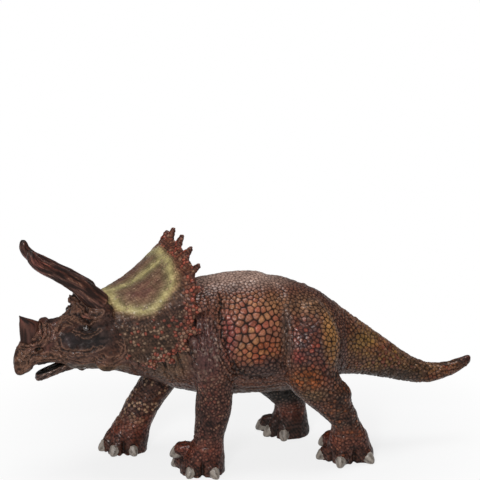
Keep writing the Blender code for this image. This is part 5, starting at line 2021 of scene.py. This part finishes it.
@dataclass(frozen=True)
class EyeFinish:
    """Glossy dark brown lacquer with a faint flecked iris."""

    name: str = "eye_lacquer"
    dark: Paint = Paint(16, 10, 8)
    flecks: Paint = Paint(74, 46, 24)

    def material(self) -> bpy.types.Material:
        """Make the material."""
        material, tree, shader = new_material(self.name)
        fleck = noise(tree, 2200, 3, 0.6)
        share = remap(tree, fleck, 0.45, 0.65, 0, 0.6)
        colour = blend_colours(tree, share, self.dark.rgba(), self.flecks.rgba())
        tree.links.new(colour, shader.inputs["Base Color"])
        tree.links.new(remap(tree, fleck, 0.3, 0.7, 0.08, 0.16), shader.inputs["Roughness"])
        shader.inputs["Coat Weight"].default_value = 0.6
        shader.inputs["Coat Roughness"].default_value = 0.05
        return material


@dataclass
class LowerJaw:
    """The lower jaw, with painted shade in its mouth and pale paint on its upward faces."""

    frame: FigureFrame
    voxel: float = 0.45
    relax_rounds: int = 14
    wrinkle_height: float = 0.35

    def build(self, finish: bpy.types.Material) -> None:
        """Model the jaw over its solid.

        Args:
            finish: The jaw's material.
        """
        mesh = joined_solids(("lower_jaw",), self.frame, 0.0)
        mesh = modified(mesh, "REMESH", mode="VOXEL", voxel_size=self.voxel, adaptivity=0.0)
        jaw = Surface(read_points(mesh), read_quads(mesh))
        bpy.data.meshes.remove(mesh)
        jaw.keep_largest()
        jaw.relax(self.relax_rounds, np.full(len(jaw.points), 0.8))
        head = turn_head(jaw.points, -HEAD_TURN)
        normals = jaw.normals()
        # Painted shade: the upturned middle of the jaw, inside the mouth, is painted near black.
        inside = ease((normals[:, 2] - 0.25) / 0.4) * ease((5.0 - np.abs(head[:, 1])) / 1.2)
        wrinkle = mottle(head * np.array([1, 1, 1.6]), 3.2, 31)
        jaw.points += normals * ((wrinkle - 0.5) * self.wrinkle_height * (1 - inside))[:, None]
        # Painted highlight: faces that look upward are painted pale, partly also the lip's paler paint.
        lip = ease((normals[:, 2] - 0.1) / 0.5) * (1 - inside)
        coat = PaintCoat.plain(len(head), (34, 21, 17), (92, 64, 52))
        coat.lay(ease((-118 - head[:, 0]) / 10), (40, 29, 26), (112, 86, 76))
        coat.lay(lip, (58, 40, 34), (152, 118, 100))
        coat.lay(inside, (9, 8, 6), (26, 19, 15))
        jaw.points = self.frame.outward(jaw.points)
        mesh = jaw.to_mesh("lower_jaw_form")
        tone = mottle(head, 6, 41)
        # The mouth also takes the near-black crease paint, more painted shade.
        add_paint(mesh, coat, relief=wrinkle, tone=tone, crease=inside * 0.3, edge=lip * 0.5)
        piece = link_piece(mesh, finish)
        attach(piece, "jaw")
        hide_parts("lower_jaw")
        log.info("%s: %d faces", piece.name, len(jaw.quads))


@dataclass(frozen=True)
class PinFinish:
    """Drawn steel with fine scratches."""

    name: str = "drawn_steel"
    dull: Paint = Paint(170, 170, 172)
    bright: Paint = Paint(205, 205, 208)

    def material(self) -> bpy.types.Material:
        """Make the material."""
        material, tree, shader = new_material(self.name)
        scratch = noise(tree, 3000, 4, 0.7)
        share = remap(tree, scratch, 0.3, 0.7, 0, 1)
        colour = blend_colours(tree, share, self.dull.rgba(), self.bright.rgba())
        tree.links.new(colour, shader.inputs["Base Color"])
        shader.inputs["Metallic"].default_value = 1.0
        tree.links.new(remap(tree, scratch, 0.3, 0.7, 0.25, 0.42), shader.inputs["Roughness"])
        return material


def mix_shaders(
    tree: bpy.types.NodeTree,
    share: bpy.types.NodeSocket,
    first: bpy.types.Node,
    second: bpy.types.Node,
    end: bpy.types.Node,
) -> None:
    """Show a blend of two shaders.

    Args:
        tree: The node tree.
        share: How much of the second shader shows.
        first: The first shader.
        second: The second shader.
        end: The tree's output node.
    """
    mix = tree.nodes.new("ShaderNodeMixShader")
    tree.links.new(share, mix.inputs[0])
    tree.links.new(first.outputs[0], mix.inputs[1])
    tree.links.new(second.outputs[0], mix.inputs[2])
    tree.links.new(mix.outputs[0], end.inputs["Surface"])


@dataclass
class Studio:
    """A pale floor and backdrop, soft lamps and the photograph's camera.

    The picture's scale, ground row and middle column tell where the photograph shows the figure,
    in its own pixels.
    """

    frame: FigureFrame
    picture_scale: float = 1.63
    ground_row: float = 454.2
    middle_column: float = 245.0
    picture_side: float = 480.0
    azimuth: float = math.radians(-13)
    elevation: float = math.radians(20)
    distance: float = 8.0
    sensor: float = 36.0

    def build(self) -> None:
        """Set up the floor, lamps, world and camera."""
        self.add_floor()
        self.add_world()
        self.add_lamps()
        self.add_camera()

    def add_floor(self) -> None:
        """A wide pale floor that keeps the shadow near the figure."""
        work = bmesh.new()
        bmesh.ops.create_grid(work, x_segments=40, y_segments=40, size=4.0)
        material, tree, shader = new_material("pale_floor")
        floor = link_piece(mesh_from(work, "studio_floor"), material)
        floor.location.z = -0.2 * MM
        shader.inputs["Base Color"].default_value = (0.6, 0.6, 0.6, 1)
        shader.inputs["Roughness"].default_value = 0.9
        white = tree.nodes.new("ShaderNodeEmission")
        white.inputs["Color"].default_value = (1, 1, 1, 1)
        place = tree.nodes.new("ShaderNodeNewGeometry")
        length = tree.nodes.new("ShaderNodeVectorMath")
        length.operation = "LENGTH"
        tree.links.new(place.outputs["Position"], length.inputs[0])
        far = remap(tree, length.outputs["Value"], 0.09, 0.20, 0.80, 1.0)
        rays = tree.nodes.new("ShaderNodeLightPath")
        seen = compute(tree, "ADD", rays.outputs["Is Camera Ray"], rays.outputs["Is Glossy Ray"])
        seen = compute(tree, "ADD", seen, rays.outputs["Is Transmission Ray"])
        share = compute(tree, "MULTIPLY", far, seen)
        mix_shaders(tree, share, shader, white, tree.nodes["Material Output"])

    def add_world(self) -> None:
        """A white surround for the camera, and a soft one that lights the figure."""
        world = bpy.data.worlds.new("studio")
        bpy.context.scene.world = world
        world.use_nodes = True
        tree = world.node_tree
        soft = tree.nodes["Background"]
        soft.inputs["Color"].default_value = (0.93, 0.96, 1.0, 1)
        soft.inputs["Strength"].default_value = 0.26
        white = tree.nodes.new("ShaderNodeBackground")
        white.inputs["Color"].default_value = (1, 1, 1, 1)
        white.inputs["Strength"].default_value = 1.0
        rays = tree.nodes.new("ShaderNodeLightPath")
        mix_shaders(tree, rays.outputs["Is Camera Ray"], soft, white, tree.nodes["World Output"])

    def add_lamps(self) -> None:
        """A lamp in front, a broad one above and a weak one beside the head."""
        target = Vector((0, 0, 0.07))
        for name, place, size, power in (
            ("front_lamp", (-0.40, -0.90, 0.60), 0.22, 8.0),
            ("top_lamp", (0.10, 0.05, 1.10), 0.50, 6.4),
            ("side_lamp", (-0.9, -0.2, 0.35), 0.40, 1.4),
        ):
            data = bpy.data.lights.new(name, "AREA")
            data.shape = "DISK"
            data.size = size
            data.energy = power
            lamp = bpy.data.objects.new(name, data)
            bpy.context.scene.collection.objects.link(lamp)
            lamp.location = place
            lamp.rotation_euler = (target - lamp.location).to_track_quat("-Z", "Y").to_euler()

    def add_camera(self) -> None:
        """A far camera with a long lens, framed as the photograph is."""
        cos, sin = math.cos(self.azimuth), math.sin(self.azimuth)
        level = math.cos(self.elevation)
        right = Vector((cos, sin, 0))
        back = Vector((sin * level, -cos * level, math.sin(self.elevation)))
        up = back.cross(right)
        middle = self.picture_side / 2
        across = (middle - self.middle_column) / self.picture_scale
        rise = (self.ground_row - middle) / self.picture_scale
        aim = Vector(self.frame.outward(np.array(right * across + up * rise)))
        data = bpy.data.cameras.new("photo_camera")
        data.sensor_width = self.sensor
        data.lens = self.sensor * self.distance / (self.picture_side / self.picture_scale * MM)
        data.clip_end = 40
        camera = bpy.data.objects.new("photo_camera", data)
        bpy.context.scene.collection.objects.link(camera)
        camera.location = aim + back * self.distance
        camera.rotation_euler = back.to_track_quat("Z", "Y").to_euler()
        bpy.context.scene.camera = camera
        bpy.context.scene.view_settings.view_transform = "Standard"


def main() -> None:
    """Build every piece in order."""
    logging.basicConfig(level=logging.INFO, format="%(message)s")
    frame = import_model()
    figure = FigureFrame()
    figure.locate()
    Studio(figure).build()
    layers = make_paint_layers()
    grain = make_cast_grain()
    body = SkinFinish("painted_skin").material(layers, grain)
    shield = SkinFinish("painted_shield", 0.34, 0.58, coat=0.22).material(layers, grain)
    horn = SkinFinish("painted_horn", 0.30, 0.52, 0.25, 0.7).material(layers, grain)
    jaw = SkinFinish("painted_jaw", 0.30, 0.50, 0.25, 0.6).material(layers, grain)
    mounts = {mount["name"]: mount["pos_m"] for mount in frame["record"]["mounts"]}
    soles = {name: figure.inward(np.array(place)) for name, place in mounts.items()}
    skin = Skin(figure, soles)
    skin.build()
    skin.part({name: shield if name == "neck_shield" else body for name in SKIN_NODES})
    BrowHorn(figure, -1, fullness=1.06, lift=1.2, stretch=1.06).build(horn)
    BrowHorn(figure, 1, fullness=0.95, lift=-0.8).build(horn)
    NoseHorn(figure).build(horn)
    nail = NailFinish().material(grain)
    for foot in FEET:
        Nails(figure, foot, soles[foot.mount]).build(nail)
    Eyes(figure).build(EyeFinish().material())
    LowerJaw(figure).build(jaw)
    pin = frame["nodes"]["jaw_pin"]
    pin.data.materials.clear()
    pin.data.materials.append(PinFinish().material())


if __name__ == "__main__":
    main()
